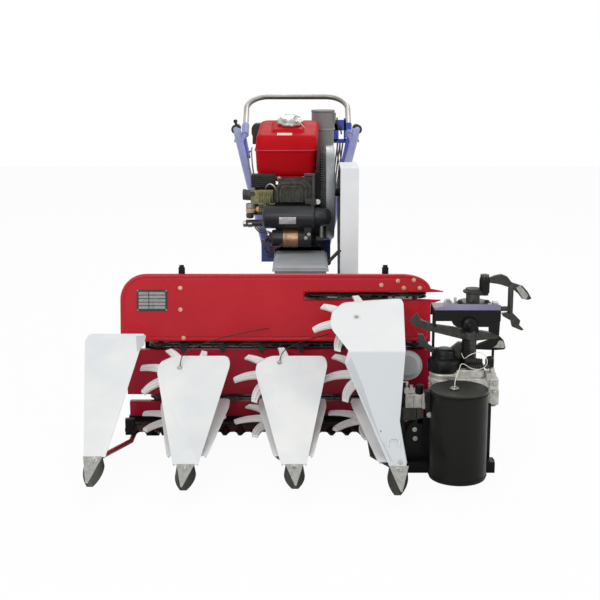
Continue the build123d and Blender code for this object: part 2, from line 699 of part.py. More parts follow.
# Handle arms, U-shaped bar, grips and levers
def make_handles():
    for side, name in ((-1, "left"), (1, "right")):
        foot = place(HANDLE_X + side * HANDLE_FOOT_HALF, HANDLE_FOOT_BEHIND, HANDLE_FOOT_Z)
        top = place(HANDLE_X + side * HANDLE_TOP_HALF, HANDLE_TOP_BEHIND, HANDLE_TOP_Z)
        bar_x = BAR_LEFT if side < 0 else BAR_RIGHT
        with BuildPart() as arm:
            run = top - foot
            with BuildSketch(Plane(origin=foot, x_dir=(1, 0, 0), z_dir=run)):
                RectangleRounded(HANDLE_WIDE, HANDLE_HIGH, 7)
            extrude(amount=run.length)
            reach = top + Vector(side * 8, 40, 8)
            rod(top, reach, 13)
            rod(reach, reach + Vector(0, GRIP_LENGTH, 0), GRIP_RADIUS - 5)
            mouth, corner = bar_leg(bar_x)
            socket = mouth - (corner - mouth).normalized() * 70
            rod(socket, mouth, BAR_RADIUS + 4)
            rod(socket + (mouth - socket) * 0.15, foot + run * 0.86, BAR_RADIUS)
            inner = TRACTOR_X + side * STAND_HALF
            outer = HANDLE_X + side * (HANDLE_FOOT_HALF + HANDLE_WIDE / 2)
            block(
                min(inner, outer), max(inner, outer),
                HANDLE_FOOT_BEHIND - 34, HANDLE_FOOT_BEHIND + 14, HANDLE_FOOT_Z - 70, HANDLE_FOOT_Z + 18,
            )
            root = top + Vector(side * 4.8, 24, 4.8)
            rod(root, root + Vector(0, 0, -32), 8.5)
            bent_rod(
                (
                    root + Vector(0, 0, -26), root + Vector(side * 10, 50, -52),
                    root + Vector(side * 10, 136, -50),
                ),
                4.5, 20,
            )
        keep(arm, f"handle_{name}")

        with BuildPart() as grip:
            start = top + Vector(side * 8, 44, 8)
            with BuildSketch(Plane(origin=start, z_dir=(0, 1, 0))):
                Circle(GRIP_RADIUS)
                Circle(GRIP_RADIUS - 5, mode=Mode.SUBTRACT)
            extrude(amount=GRIP_LENGTH - 4)
            with BuildSketch(Plane(origin=start + Vector(0, GRIP_LENGTH - 4, 0), z_dir=(0, 1, 0))):
                Circle(GRIP_RADIUS)
            extrude(amount=5)
            with BuildSketch(Plane(origin=start, z_dir=(0, 1, 0))):
                Circle(GRIP_RADIUS + 4)
                Circle(GRIP_RADIUS - 5, mode=Mode.SUBTRACT)
            extrude(amount=6)
        keep(grip, f"grip_{name}")

    with BuildPart() as bar:
        near_left, far_left = bar_leg(BAR_LEFT)
        near_right, far_right = bar_leg(BAR_RIGHT)
        gap = (far_left - near_left).normalized() * SEAT_GAP
        bent_rod((near_left + gap, far_left, far_right, near_right + gap), BAR_RADIUS, BAR_BEND)
    keep(bar, "top_bar")


def chain_end(edge, inward):
    """The x of the shaft inside one end of a chain loop."""
    return edge + inward * (CHAIN_HALF_DEPTH + CHAIN_WIDTH / 2)


# Header frame: beam, uprights with tabs and the shafts and sprockets of the chains
def make_header_frame():
    deck = BAR_BASE + BAR_THICKNESS
    with BuildPart() as frame:
        block(
            PANEL_LEFT + 16, PANEL_RIGHT - 14, BEAM_BEHIND - BEAM_DEPTH / 2, BEAM_BEHIND + BEAM_DEPTH / 2,
            BEAM_BASE, BEAM_BASE + BEAM_HEIGHT,
        )
        rear = BEAM_BEHIND + BEAM_DEPTH / 2
        for x in UPRIGHTS:
            block(x - 20, x + 20, rear, rear + UPRIGHT_THICKNESS, deck + SEAT_GAP, UPRIGHT_TOP)
            for z in (385, 545):
                wall = PANEL_BEHIND + (z + 10 - UPPER_BASE) * tan(radians(UPPER_LEAN)) + SHEET
                rod(place(x, wall + 3 * SEAT_GAP, z), place(x, rear, z), 10)
        for x in (chain_end(CHAIN_LEFT, 1), chain_end(PANEL_RIGHT - 12, -1)):
            rod(place(x, BEAM_BEHIND, deck + SEAT_GAP), place(x, BEAM_BEHIND, 342), SHAFT_RADIUS)
            for z in (LOWER_CHAIN_Z, MIDDLE_CHAIN_Z):
                rod(place(x, BEAM_BEHIND, z - 4), place(x, BEAM_BEHIND, z + 4), SPROCKET_RADIUS)
        for x in (chain_end(0, 1), chain_end(PANEL_RIGHT - 12, -1)):
            rod(place(x, TOP_CHAIN_BEHIND, BEAM_BASE + BEAM_HEIGHT - 2), place(x, TOP_CHAIN_BEHIND, 508), 8)
            rod(
                place(x, TOP_CHAIN_BEHIND, TOP_CHAIN_Z - 4), place(x, TOP_CHAIN_BEHIND, TOP_CHAIN_Z + 4),
                SPROCKET_RADIUS,
            )
    keep(frame, "header_frame")


def make_panels():
    lean_rise = (UPPER_TOP - UPPER_BASE) / cos(radians(UPPER_LEAN))
    front = facing(0, PANEL_BEHIND, UPPER_BASE, UPPER_LEAN)
    slot_low = (SLOT_BASE - UPPER_BASE) / cos(radians(UPPER_LEAN))
    with BuildPart() as upper:
        with BuildSketch(front):
            with BuildLine():
                Polyline(
                    (PANEL_LEFT, lean_rise - CORNER_LEFT), (PANEL_LEFT, 0), (PANEL_RIGHT, 0),
                    (PANEL_RIGHT, lean_rise - 54),
                )
                ThreePointArc(
                    (PANEL_RIGHT, lean_rise - 54), (PANEL_RIGHT - 34, lean_rise - 16),
                    (PANEL_RIGHT - 100, lean_rise),
                )
                Line((PANEL_RIGHT - 100, lean_rise), (PANEL_LEFT + CORNER_LEFT, lean_rise))
                RadiusArc(
                    (PANEL_LEFT + CORNER_LEFT, lean_rise), (PANEL_LEFT, lean_rise - CORNER_LEFT), -CORNER_LEFT,
                )
            make_face()
        extrude(amount=-PANEL_FOLD)
        inwards = Axis(front.origin, -front.z_dir)
        back = upper.faces().filter_by(inwards).sort_by(inwards)[-1]
        offset(amount=-SHEET, openings=[back])
        with BuildSketch(front.offset(2)):
            with Locations(((SLOT_LEFT + PANEL_RIGHT + 40) / 2, slot_low + SLOT_HEIGHT / 2)):
                Rectangle(PANEL_RIGHT + 40 - SLOT_LEFT, SLOT_HEIGHT)
        extrude(amount=-PANEL_FOLD - 8, mode=Mode.SUBTRACT)
        edge = PANEL_RIGHT - 20
        top = slot_low + SLOT_HEIGHT
        for fin in (
            ((edge, top), (PANEL_RIGHT + 43, top + 5), (edge, top + 26)),
            ((edge, slot_low), (PANEL_RIGHT + 34, slot_low - 1), (edge, slot_low - 24)),
        ):
            with BuildSketch(front):
                with BuildLine():
                    Polyline(*fin, close=True)
                make_face()
            extrude(amount=-SHEET)
        stay = COVER_STAY
        wall = PANEL_BEHIND + (stay[2] - UPPER_BASE) * tan(radians(UPPER_LEAN))
        rod(place(*stay), place(stay[0], wall + 2, stay[2] - 6), 7)
    keep(upper, "upper_panel")

    for name, base, top, left in (
        ("middle_panel", MIDDLE_BASE, MIDDLE_TOP, PANEL_LEFT + 20),
        ("lower_panel", LOWER_BASE, LOWER_TOP, PANEL_LEFT + 26),
    ):
        with BuildPart() as panel:
            rear = BEAM_BEHIND - BEAM_DEPTH / 2 - SEAT_GAP
            block(left, PANEL_RIGHT, PANEL_BEHIND, rear, base, top)
            offset(amount=-SHEET, openings=[panel.faces().sort_by(Axis.Y)[-1]])
        keep(panel, name)


# Lugged chains, each a flat loop on two upright shafts
def make_chain(name, left, right, behind, level):
    half = CHAIN_HALF_DEPTH
    reach = half + CHAIN_WIDTH / 2
    with BuildPart() as chain:
        middle = (left + right) / 2
        for base in (level - CHAIN_HEIGHT / 2, level + CHAIN_HEIGHT / 2 - CHAIN_PLATE):
            with BuildSketch(Plane(origin=place(middle, behind, base))):
                SlotOverall(right - left, 2 * reach)
                SlotOverall(right - left - 2 * CHAIN_WIDTH, 2 * (reach - CHAIN_WIDTH), mode=Mode.SUBTRACT)
            extrude(amount=CHAIN_PLATE)
        links = int((right - left - 2 * reach) / LINK_PITCH)
        with BuildSketch(Plane(origin=place(middle, behind, level - CHAIN_HEIGHT / 2))):
            for row in (-half, half):
                with Locations((0, row)):
                    with GridLocations(LINK_PITCH, 1, links, 1):
                        Rectangle(9, 9)
            for end in (left - middle + reach, right - middle - reach):
                side = -1 if end < 0 else 1
                with Locations((end, 0)):
                    with PolarLocations(half, 3, start_angle=90 if side < 0 else -90, angular_range=180):
                        Rectangle(9, 9)
        extrude(amount=CHAIN_HEIGHT)
        count = int((right - left - 2 * reach) / CHAIN_LUG_PITCH) + 1
        first = middle - (count - 1) * CHAIN_LUG_PITCH / 2
        for side in (-1, 1):
            for number in range(count):
                x = first + number * CHAIN_LUG_PITCH
                root = side * (half - 2)
                tip = side * (reach + CHAIN_LUG_REACH)
                with BuildSketch(Plane(origin=place(x, behind, level + CHAIN_HEIGHT / 2))):
                    with BuildLine():
                        Polyline(
                            (-CHAIN_LUG_WIDTH / 2, root), (CHAIN_LUG_WIDTH / 2, root),
                            (7, tip), (-7, tip), close=True,
                        )
                    make_face()
                extrude(amount=3)
    keep(chain, name)


def make_cutter_bar():
    left = PANEL_LEFT + 22
    right = PANEL_RIGHT
    count = int((right - left) / TOOTH_PITCH)
    middle = (left + right) / 2
    with BuildPart() as bar:
        block(left, right, BAR_FRONT, BAR_BACK, BAR_BASE, BAR_BASE + BAR_THICKNESS)
        with BuildSketch(Plane(origin=place(middle, BAR_FRONT, BAR_BASE))):
            with GridLocations(TOOTH_PITCH, 1, count, 1):
                Polygon(
                    (-25, 4), (-14, -10), (-5, TOOTH_TIP - BAR_FRONT), (5, TOOTH_TIP - BAR_FRONT), (14, -10),
                    (25, 4), align=None,
                )
        extrude(amount=BAR_THICKNESS)
        block(left, right, PANEL_BEHIND, PANEL_BEHIND + 24, BAR_BASE, LOWER_BASE - SEAT_GAP)
        for x in SKIDS:
            block(x - 14, x + 14, BAR_BACK - 40, BAR_BACK - 12, 0, BAR_BASE)
            block(x - 22, x + 22, BAR_BACK - 44, SKID_REAR, 0, 6)
        for star_name, x, behind, z, slope, turn, top in STARS:
            if z < BEAM_BASE:
                block(x - 17, x + 17, 0, behind + 27, 0, BAR_BASE + 2 * BAR_THICKNESS, Mode.SUBTRACT)
        block(left + 9, left + 39, TOOTH_TIP - 6, TOOTH_TIP + 14, BAR_BASE + 4, BAR_BASE + 58)
    keep(bar, "cutter_bar")

    with BuildPart() as knife:
        level = BAR_BASE + BAR_THICKNESS
        block(left + 12, right - 12, BAR_FRONT + 36, BAR_FRONT + 58, level, level + 2 * KNIFE)
        with BuildSketch(Plane(origin=place(middle, BAR_FRONT, level))):
            with GridLocations(TOOTH_PITCH, 1, count - 1, 1):
                Polygon((-24, 40), (-6, -34), (6, -34), (24, 40), align=None)
        extrude(amount=KNIFE)
        for star_name, x, behind, z, slope, turn, top in STARS:
            if z < BEAM_BASE:
                block(x - 17, x + 17, 0, behind + 29, level - 1, level + 3 * KNIFE, Mode.SUBTRACT)
    keep(knife, "knife")


# Star wheels with curved fingers, each free on its own spindle
def make_star(name, x, behind, z, slope, turn):
    plane = sloping(x, behind, z, slope)
    with BuildSketch() as finger:
        with BuildLine():
            ThreePointArc((28, -22), (92, -17), (STAR_RADIUS - 1, 14))
            Line((STAR_RADIUS - 1, 14), (STAR_RADIUS - 7, 33))
            ThreePointArc((STAR_RADIUS - 7, 33), (86, 14), (28, 17))
            Line((28, 17), (28, -22))
        make_face()
    with BuildPart() as star:
        with BuildSketch(plane.offset(-STAR_THICKNESS / 2)):
            Circle(STAR_HUB_RADIUS + 12)
            with PolarLocations(0, STAR_FINGERS, start_angle=turn):
                add(finger.sketch)
        extrude(amount=STAR_THICKNESS)
        with BuildSketch(plane.offset(-STAR_HUB_HEIGHT / 2)):
            Circle(STAR_HUB_RADIUS)
        extrude(amount=STAR_HUB_HEIGHT)
        with BuildSketch(plane.offset(-STAR_HUB_HEIGHT)):
            Circle(SPINDLE_RADIUS + RUNNING_GAP)
        extrude(amount=2 * STAR_HUB_HEIGHT, mode=Mode.SUBTRACT)
    keep(star, name)


# Slabs of sheet under a side-view profile, given as (behind, z) points from the toe end upwards
def add_slabs(profile, skin, depth):
    for (near, low), (far, high) in zip(profile, profile[1:]):
        run = hypot(far - near, high - low)
        down = ((high - low) / run, -(far - near) / run)
        corners = [
            (near + down[0] * skin, low + down[1] * skin), (far + down[0] * skin, high + down[1] * skin),
            (far + down[0] * depth, high + down[1] * depth), (near + down[0] * depth, low + down[1] * depth),
        ]
        with BuildSketch(across(-LENGTH / 2, 0, 0)) as slab:
            with BuildLine():
                Polyline(*corners, close=True)
            make_face()
        extrude(slab.sketch, amount=LENGTH)


def cut_to_outline(outline, roundings, inset):
    """Keeps what lies behind a front-view outline of (x, z) points, each with its corner radius."""
    with BuildSketch(facing(0, 0, 0, 0)) as front:
        with BuildLine():
            Polyline(*outline, close=True)
        make_face()
        for (x, z), radius in zip(outline, roundings):
            if radius:
                fillet(front.vertices().sort_by_distance(Vector(x, z, 0))[0], radius)
        if inset:
            offset(amount=-inset)
    extrude(front.sketch, amount=-LENGTH, mode=Mode.INTERSECT)


def make_cover(name, profile, outline, roundings):
    """A divider cover of bent sheet with its edges turned down."""
    with BuildPart() as hollow:
        add_slabs(profile, SHEET, COVER_FOLD + 1)
        cut_to_outline(outline, roundings, SHEET)
    with BuildPart() as cover:
        add_slabs(profile, 0, COVER_FOLD)
        cut_to_outline(outline, roundings, 0)
        add(hollow.part, mode=Mode.SUBTRACT)
    keep(cover, name)


# Pressed toe on the front of a divider: a pointed top face with curved cheeks down to a round sole
def add_toe(x, z, tip_x, tip_z):
    point = tip_x - x
    rise = z - tip_z - TOE_LIP
    length = hypot(TOE_LENGTH, rise) * TOE_FACE
    with BuildSketch(sloping(x, TOE_LENGTH, z, degrees(atan2(rise, TOE_LENGTH)))) as face:
        with BuildLine():
            Polyline((-TOE_HALF, 0), (TOE_HALF, 0), (point + 3, -length), (point - 3, -length), close=True)
        make_face()
    rise = z - tip_z - TOE_DEPTH
    length = hypot(TOE_LENGTH, rise)
    with BuildSketch(sloping(x, TOE_LENGTH, z - TOE_DEPTH, degrees(atan2(rise, TOE_LENGTH)))) as sole:
        with BuildLine():
            Line((-TOE_HALF - 5, 0), (TOE_HALF + 5, 0))
            ThreePointArc((TOE_HALF + 5, 0), (point / 2 + TOE_HALF, -length * 0.55), (point + 9, -length))
            Line((point + 9, -length), (point - 9, -length))
            ThreePointArc((point - 9, -length), (point / 2 - TOE_HALF, -length * 0.55), (-TOE_HALF - 5, 0))
        make_face()
    loft(sections=(face.sketch, sole.sketch), ruled=True)


def spindle_points(x, behind, z, slope, low, high):
    """The two ends of a star spindle, measured along it from the middle of its wheel."""
    plane = sloping(x, behind, z, slope)
    return plane.from_local_coords(Vector(0, 0, low)), plane.from_local_coords(Vector(0, 0, high))


def add_spindle(x, behind, z, slope, low, high):
    """A spindle with a collar under its wheel and a washer over it."""
    start, end = spindle_points(x, behind, z, slope, low, high)
    rod(start, end, SPINDLE_RADIUS)
    shoulder = STAR_HUB_HEIGHT / 2 + RUNNING_GAP
    lower, seat = spindle_points(x, behind, z, slope, low, -shoulder)
    rod(lower, seat, SPINDLE_RADIUS + 5)
    washer, nut = spindle_points(x, behind, z, slope, shoulder, shoulder + 8)
    rod(washer, nut, SPINDLE_RADIUS + 6)


def make_divider(name, toe_x, toe_z, tip_x, tip_z, stars):
    """A divider's toe, its arm and the spindles and brackets of its star wheels."""
    lower = [star for star in stars if star[3] < BEAM_BASE]
    root_x = lower[0][1] if lower else toe_x + LEFT_ARM_SHIFT
    knee = ARM_KNEE if lower else LEFT_ARM_KNEE
    with BuildPart() as arm:
        add_toe(toe_x, toe_z, tip_x, tip_z)
        seat = place(toe_x, TOE_LENGTH - 4, toe_z - ARM_SEAT)
        bent_rod(
            (
                place(root_x, ARM_ROOT, ARM_Z), place(root_x, knee, ARM_Z),
                seat + Vector(0, 24, -2), seat,
            ),
            ARM_RADIUS, 14,
        )
        block(root_x - 16, root_x + 16, ARM_ROOT - 60, ARM_ROOT, ARM_Z, BAR_BASE - SEAT_GAP)
        for star_name, x, behind, z, slope, turn, top in stars:
            if z < BEAM_BASE:
                add_spindle(x, behind, z, slope, -(z - ARM_Z) / cos(radians(slope)), top)
            else:
                foot = z - STRUT_DROP
                lean = max(0, foot - 26 - UPPER_BASE) * tan(radians(UPPER_LEAN))
                wall = PANEL_BEHIND + lean - SEAT_GAP
                block(x - 15, x + 15, behind + 8, wall, foot - 12, foot)
                block(x - 22, x + 22, wall - 5, wall, foot - 26, foot)
                add_spindle(x, behind, z, slope, -(STRUT_DROP + 3) / cos(radians(slope)), top)
    keep(arm, f"divider_arm_{name}")


# Thin steel wires that lead the stalks from the covers to the panel
def make_crop_springs():
    with BuildPart() as springs:
        for path in SPRING_PATHS:
            points = [place(*point) + Vector(0, 0, SEAT_GAP) for point in path]
            bent_rod(points, SPRING_RADIUS, SPRING_BEND)
            seat = sloping(*path[0], COVER_SLOPE)
            rod(points[0], points[0] + seat.z_dir * 5, 8)
    keep(springs, "crop_springs")


def make_guide_disc():
    with BuildPart() as disc:
        with BuildSketch(facing(345, 604, 269, 12)):
            Circle(50)
        extrude(amount=6)
        with BuildSketch(facing(345, 604, 269, 12).offset(6)):
            Circle(44)
        extrude(amount=8, taper=55)
        rod(place(345, 602, 269), place(345, PANEL_BEHIND - SEAT_GAP, 269), 12)
    keep(disc, "guide_disc")


def slab_from_outline(outline, front, thickness):
    """A flat bar with a front-view outline of (x, z) points."""
    with BuildSketch(facing(0, front, 0, 0)) as shape:
        with BuildLine():
            Polyline(*outline, close=True)
        make_face()
    extrude(shape.sketch, amount=-thickness)


# Binder on the right: black frame, aluminium castings, table, packer arms and discharge arms
def make_binder():
    with BuildPart() as frame:
        block(317, 600, 292, 340, 0, 36)
        block(440, 590, 340, 430, 8, 213.7)
        with BuildSketch(facing(0, 326, 0, 0)):
            with BuildLine():
                Polyline((317, 36), (425, 36), (425, 172), (380, 172))
                ThreePointArc((380, 172), (334, 150), (317, 104))
                Line((317, 104), (317, 36))
            make_face()
        extrude(amount=-8)
        block(424, 448, 330, 350, 36, 172)
        block(PANEL_RIGHT + SEAT_GAP, 434, 345, 700, 66, 196)
        block(430, 506, 175, 300, 12, CAN_BASE - SEAT_GAP)
    keep(frame, "binder_frame")

    with BuildPart() as casting:
        with BuildSketch(Plane(origin=place(503, 392, 214))):
            RectangleRounded(220, 92, 22)
        extrude(amount=86)
        with BuildSketch(Plane(origin=place(503, 392, 300))):
            RectangleRounded(190, 70, 20)
        extrude(amount=30, taper=12)
        with BuildSketch(Plane(origin=place(440, 392, 300))):
            Circle(34)
        extrude(amount=44)
        with BuildSketch(Plane(origin=place(572, 392, 300))):
            Circle(30)
        extrude(amount=40)
        block(317, 394, 320, 346, 206, 256)
        block(370, 410, 330, 380, 214, 250)
        rod(place(354, 333, 200), place(354, 333, 262), 15)
    keep(casting, "binder_casting")

    with BuildPart() as table:
        block(407, 620, 395, 495, 470, 508)
        under = table.faces().sort_by(Axis.Z)[0]
        offset(amount=-4, openings=[under])
        block(407, 415, 428, 438, 300 + SEAT_GAP, 504)
        block(600, 608, 428, 434, 300 + SEAT_GAP, 504)
    keep(table, "binder_table")

    with BuildPart() as packer:
        rod(place(526, 415, 330 + SEAT_GAP), place(526, 415, 503.7), 12)
        rod(place(526, 415, 345), place(526, 415, 440), 22)
        slab_from_outline(
            (
                (332, 468), (355, 493), (367, 472), (405, 456), (528, 439), (611, 427), (618, 412),
                (528, 402), (493, 411), (383, 439), (352, 450),
            ),
            404, 22,
        )
        slab_from_outline(
            (
                (358, 424), (365, 390), (409, 362), (453, 345), (528, 345), (528, 395), (490, 398),
                (463, 376), (409, 379), (391, 393), (375, 424),
            ),
            402, 22,
        )
    keep(packer, "packer_arms")

    with BuildPart() as discharge:
        rod(place(537, 450, 508 + SEAT_GAP), place(537, 450, 524), 48)
        rod(place(537, 450, 524), place(537, 450, 560), 22)
        block(537, 573, 438, 462, 544, 560)
        rod(place(573, 450, 544), place(573, 450, 611), 14)
        slab_from_outline(
            (
                (580, 597), (605, 608), (626, 612), (645, 604), (660, 585), (696, 573), (712, 555),
                (724, 533), (713, 529), (693, 533), (681, 549), (658, 568), (620, 580), (580, 586),
            ),
            443, 14,
        )
        slab_from_outline(
            (
                (630, 484), (663, 489), (691, 461), (688, 446), (703, 431), (696, 428), (665, 441),
                (660, 461), (635, 475),
            ),
            443, 14,
        )
        rod(place(658, 450, 484), place(658, 450, 580), 9)
        block(624, 658, 443, 457, 492, 506)
    keep(discharge, "discharge_arms")


def make_can():
    foot = place(CAN_X, CAN_BEHIND, CAN_BASE)
    with BuildPart() as can:
        with BuildSketch(Plane(origin=foot)):
            Circle(CAN_RADIUS - 1)
        extrude(amount=CAN_TOP - CAN_BASE)
        fillet(can.edges().group_by(Axis.Z)[0], 6)
        with BuildSketch(Plane(origin=foot + Vector(0, 0, 4))):
            Circle(CAN_RADIUS - 4)
        extrude(amount=CAN_TOP, mode=Mode.SUBTRACT)
    keep(can, "twine_can")

    with BuildPart() as lid:
        with BuildSketch(Plane(origin=place(CAN_X, CAN_BEHIND, CAN_TOP + SEAT_GAP))):
            Circle(CAN_RADIUS)
        extrude(amount=6 - SEAT_GAP)
        fillet(lid.edges().group_by(Axis.Z)[-1], 2)
        eyelet = place(EYELET_X, EYELET_BEHIND, CAN_TOP)
        rod(eyelet + Vector(0, 0, 3), eyelet + Vector(0, 0, 11), 12)
        rod(eyelet, eyelet + Vector(0, 0, 12), TWINE_RADIUS + SEAT_GAP, Mode.SUBTRACT)
    keep(lid, "can_lid")


# Twine from the eyelet in the lid, up through the guide and round in a loop, as points by hand
def make_twine():
    with BuildPart() as twine:
        with BuildLine() as route:
            FilletPolyline(*[place(*point) for point in TWINE_ROUTE], radius=TWINE_BEND)
        with BuildSketch(Plane(origin=route.line @ 0, z_dir=route.line % 0)):
            Circle(TWINE_RADIUS)
        sweep(path=route.line)
    keep(twine, "twine")


make_wheel(-1, "left")
make_wheel(1, "right")
make_gearbox()
make_chassis()
make_engine()
make_starter()
make_pump()
make_tank()
make_cleaner()
make_battery_box()
make_belt_drive()
make_handles()
make_header_frame()
make_panels()
make_chain("chain_middle", CHAIN_LEFT, PANEL_RIGHT - 12, BEAM_BEHIND, MIDDLE_CHAIN_Z)
make_chain("chain_lower", CHAIN_LEFT, PANEL_RIGHT - 12, BEAM_BEHIND, LOWER_CHAIN_Z)
make_chain("chain_top", 0, PANEL_RIGHT - 12, TOP_CHAIN_BEHIND, TOP_CHAIN_Z)
make_cutter_bar()
for divider, toe_x, toe_z, tip_x, tip_z in DIVIDERS:
    wheels = [star for star in STARS if star[0].startswith(f"star_{divider}")]
    make_divider(divider, toe_x, toe_z, tip_x, tip_z, wheels)
for star_name, star_x, star_behind, star_z, star_slope, star_turn, spindle_top in STARS:
    make_star(star_name, star_x, star_behind, star_z, star_slope, star_turn)
for cover_name, profile, outline, roundings in COVERS:
    make_cover(cover_name, profile, outline, roundings)
make_crop_springs()
make_guide_disc()
make_binder()
make_can()
make_twine()
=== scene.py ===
import math

import bmesh
import bpy
from mathutils import Matrix, Vector


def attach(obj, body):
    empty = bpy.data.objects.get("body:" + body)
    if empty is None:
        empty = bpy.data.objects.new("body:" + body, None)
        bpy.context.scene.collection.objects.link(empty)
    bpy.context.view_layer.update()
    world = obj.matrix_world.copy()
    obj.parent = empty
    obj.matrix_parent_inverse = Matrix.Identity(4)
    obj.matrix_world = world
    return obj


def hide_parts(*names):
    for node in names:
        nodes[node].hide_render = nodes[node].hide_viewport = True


# A walk-behind reaper binder. Sizes are in millimetres and become metres where a mesh is made.
MM = 0.001
TIP_Y = -1075.0
UP = (0, 0, 1)
DOWN = (0, 0, -1)
LEFT = (-1, 0, 0)
RIGHT = (1, 0, 0)
TO_CAMERA = (0, -1, 0)

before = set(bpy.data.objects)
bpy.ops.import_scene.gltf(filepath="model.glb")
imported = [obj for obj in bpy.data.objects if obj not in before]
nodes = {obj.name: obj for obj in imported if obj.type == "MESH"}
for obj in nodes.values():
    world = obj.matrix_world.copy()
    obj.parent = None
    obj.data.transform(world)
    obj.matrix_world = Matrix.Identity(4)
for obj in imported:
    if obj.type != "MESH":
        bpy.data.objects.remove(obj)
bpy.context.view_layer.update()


def place(x, behind, z):
    """A point in metres from millimetres across, behind the divider toes and above the floor."""
    return Vector((x * MM, (TIP_Y + behind) * MM, z * MM))


# Materials

def linear(code):
    """An sRGB hex colour as linear RGBA."""
    channels = [int(code[i:i + 2], 16) / 255 for i in (1, 3, 5)]
    values = [c / 12.92 if c <= 0.04045 else ((c + 0.055) / 1.055) ** 2.4 for c in channels]
    return (*values, 1.0)


def add_node(tree, kind, inputs=None, **settings):
    """Adds a shader node with its settings, and sets or links its inputs."""
    made = tree.nodes.new(kind)
    for name, value in settings.items():
        setattr(made, name, value)
    for name, value in (inputs or {}).items():
        if isinstance(value, bpy.types.NodeSocket):
            tree.links.new(value, made.inputs[name])
        else:
            made.inputs[name].default_value = value
    return made


def start_material(name):
    """A material with only an output and a shader, its tree and its shader."""
    material = bpy.data.materials.new(name)
    material.use_nodes = True
    tree = material.node_tree
    tree.nodes.clear()
    shader = add_node(tree, "ShaderNodeBsdfPrincipled")
    add_node(tree, "ShaderNodeOutputMaterial", {"Surface": shader.outputs["BSDF"]})
    return material, tree, shader


def shift_colour(tree, shader, base, other, grain):
    """Drifts the shader's colour between two hex colours, with patches of a size in millimetres."""
    where = add_node(tree, "ShaderNodeTexCoord")
    noise = add_node(
        tree, "ShaderNodeTexNoise",
        {"Vector": where.outputs["Object"], "Scale": 1 / (grain * MM), "Detail": 4.0},
    )
    ramp = add_node(tree, "ShaderNodeValToRGB", {"Fac": noise.outputs["Fac"]})
    for element, position, code in zip(ramp.color_ramp.elements, (0.35, 0.65), (base, other)):
        element.position = position
        element.color = linear(code)
    tree.links.new(ramp.outputs["Color"], shader.inputs["Base Color"])
    return where, ramp


def roughen(tree, shader, where, grain, low, high):
    """Varies the shader's roughness between two values, with patches of a size in millimetres."""
    noise = add_node(
        tree, "ShaderNodeTexNoise",
        {"Vector": where.outputs["Object"], "Scale": 1 / (grain * MM), "Detail": 5.0},
    )
    spread = add_node(
        tree, "ShaderNodeMapRange",
        {"Value": noise.outputs["Fac"], "From Min": 0.3, "From Max": 0.7, "To Min": low, "To Max": high},
    )
    tree.links.new(spread.outputs["Result"], shader.inputs["Roughness"])


def relief(tree, shader, where, grain, height):
    """Gives the surface bumps of a size and a height in millimetres."""
    pattern = add_node(
        tree, "ShaderNodeTexNoise", {"Vector": where.outputs["Object"], "Scale": 1 / (grain * MM)},
    )
    bump = add_node(
        tree, "ShaderNodeBump",
        {"Height": pattern.outputs["Fac"], "Distance": height * MM, "Strength": 1.0},
    )
    tree.links.new(bump.outputs["Normal"], shader.inputs["Normal"])


ENAMEL_GRAIN = 160


def enamel(name, base, shade, rough=0.28, coat=0.1, peel=0.03, shine=0.25):
    """Sprayed enamel on sheet steel: an even colour, a soft shine and a faint orange peel."""
    material, tree, shader = start_material(name)
    where, _ = shift_colour(tree, shader, base, shade, ENAMEL_GRAIN)
    roughen(tree, shader, where, 70, rough - 0.05, rough + 0.08)
    relief(tree, shader, where, 2.5, peel)
    shader.inputs["Specular IOR Level"].default_value = shine
    shader.inputs["Coat Weight"].default_value = coat
    shader.inputs["Coat Roughness"].default_value = 0.12
    return material


def bare_metal(name, base, shade, rough=0.4, grain=12, bump=0.03, metallic=1.0):
    """Metal with no paint, with stains a little darker than itself and a fine tooth."""
    material, tree, shader = start_material(name)
    where, _ = shift_colour(tree, shader, base, shade, grain)
    roughen(tree, shader, where, grain, rough - 0.1, rough + 0.12)
    relief(tree, shader, where, 1.5, bump)
    shader.inputs["Metallic"].default_value = metallic
    return material


def two_tone_and_painted_light(
    name, base, shade, under, measure, low, high, rough, metallic=0.0, shine=0.25, peel=0.03,
):
    """A finish with another colour at low height, near the toes or on faces that turn down: real two-tone
    paint on the red toe arm, a painted sheen on the handles' upper part, and painted shade below the
    cover's fold and under the plated tube.
    """
    material, tree, shader = start_material(name)
    where, ramp = shift_colour(tree, shader, base, shade, ENAMEL_GRAIN)
    if measure == "facing":
        source = add_node(tree, "ShaderNodeNewGeometry").outputs["Normal"]
    else:
        source = where.outputs["Object"]
    split = add_node(tree, "ShaderNodeSeparateXYZ", {"Vector": source})
    value = split.outputs["Y" if measure == "behind" else "Z"]
    step = add_node(tree, "ShaderNodeMapRange", {"Value": value, "From Min": low, "From Max": high})
    both = add_node(
        tree, "ShaderNodeMixRGB",
        {"Fac": step.outputs["Result"], "Color1": linear(under), "Color2": ramp.outputs["Color"]},
    )
    tree.links.new(both.outputs["Color"], shader.inputs["Base Color"])
    roughen(tree, shader, where, 70, rough - 0.04, rough + 0.08)
    relief(tree, shader, where, 2.5, peel)
    shader.inputs["Specular IOR Level"].default_value = shine
    shader.inputs["Metallic"].default_value = metallic
    return material


def sand_casting(name, base, shade, rough=0.6, metallic=0.5, bump=0.35):
    """A sand casting: grains that catch the light and darker hollows."""
    material, tree, shader = start_material(name)
    where, _ = shift_colour(tree, shader, base, shade, 18)
    roughen(tree, shader, where, 25, rough - 0.1, rough + 0.1)
    relief(tree, shader, where, 3.0, bump)
    shader.inputs["Metallic"].default_value = metallic
    return material


def moulded(name, base, shade, rough=0.45, bump=0.03, grain=60):
    """Moulded plastic or rubber: one colour through, an even soft shine and a fine skin."""
    material, tree, shader = start_material(name)
    where, _ = shift_colour(tree, shader, base, shade, grain)
    roughen(tree, shader, where, 40, rough - 0.06, rough + 0.08)
    relief(tree, shader, where, 1.2, bump)
    return material


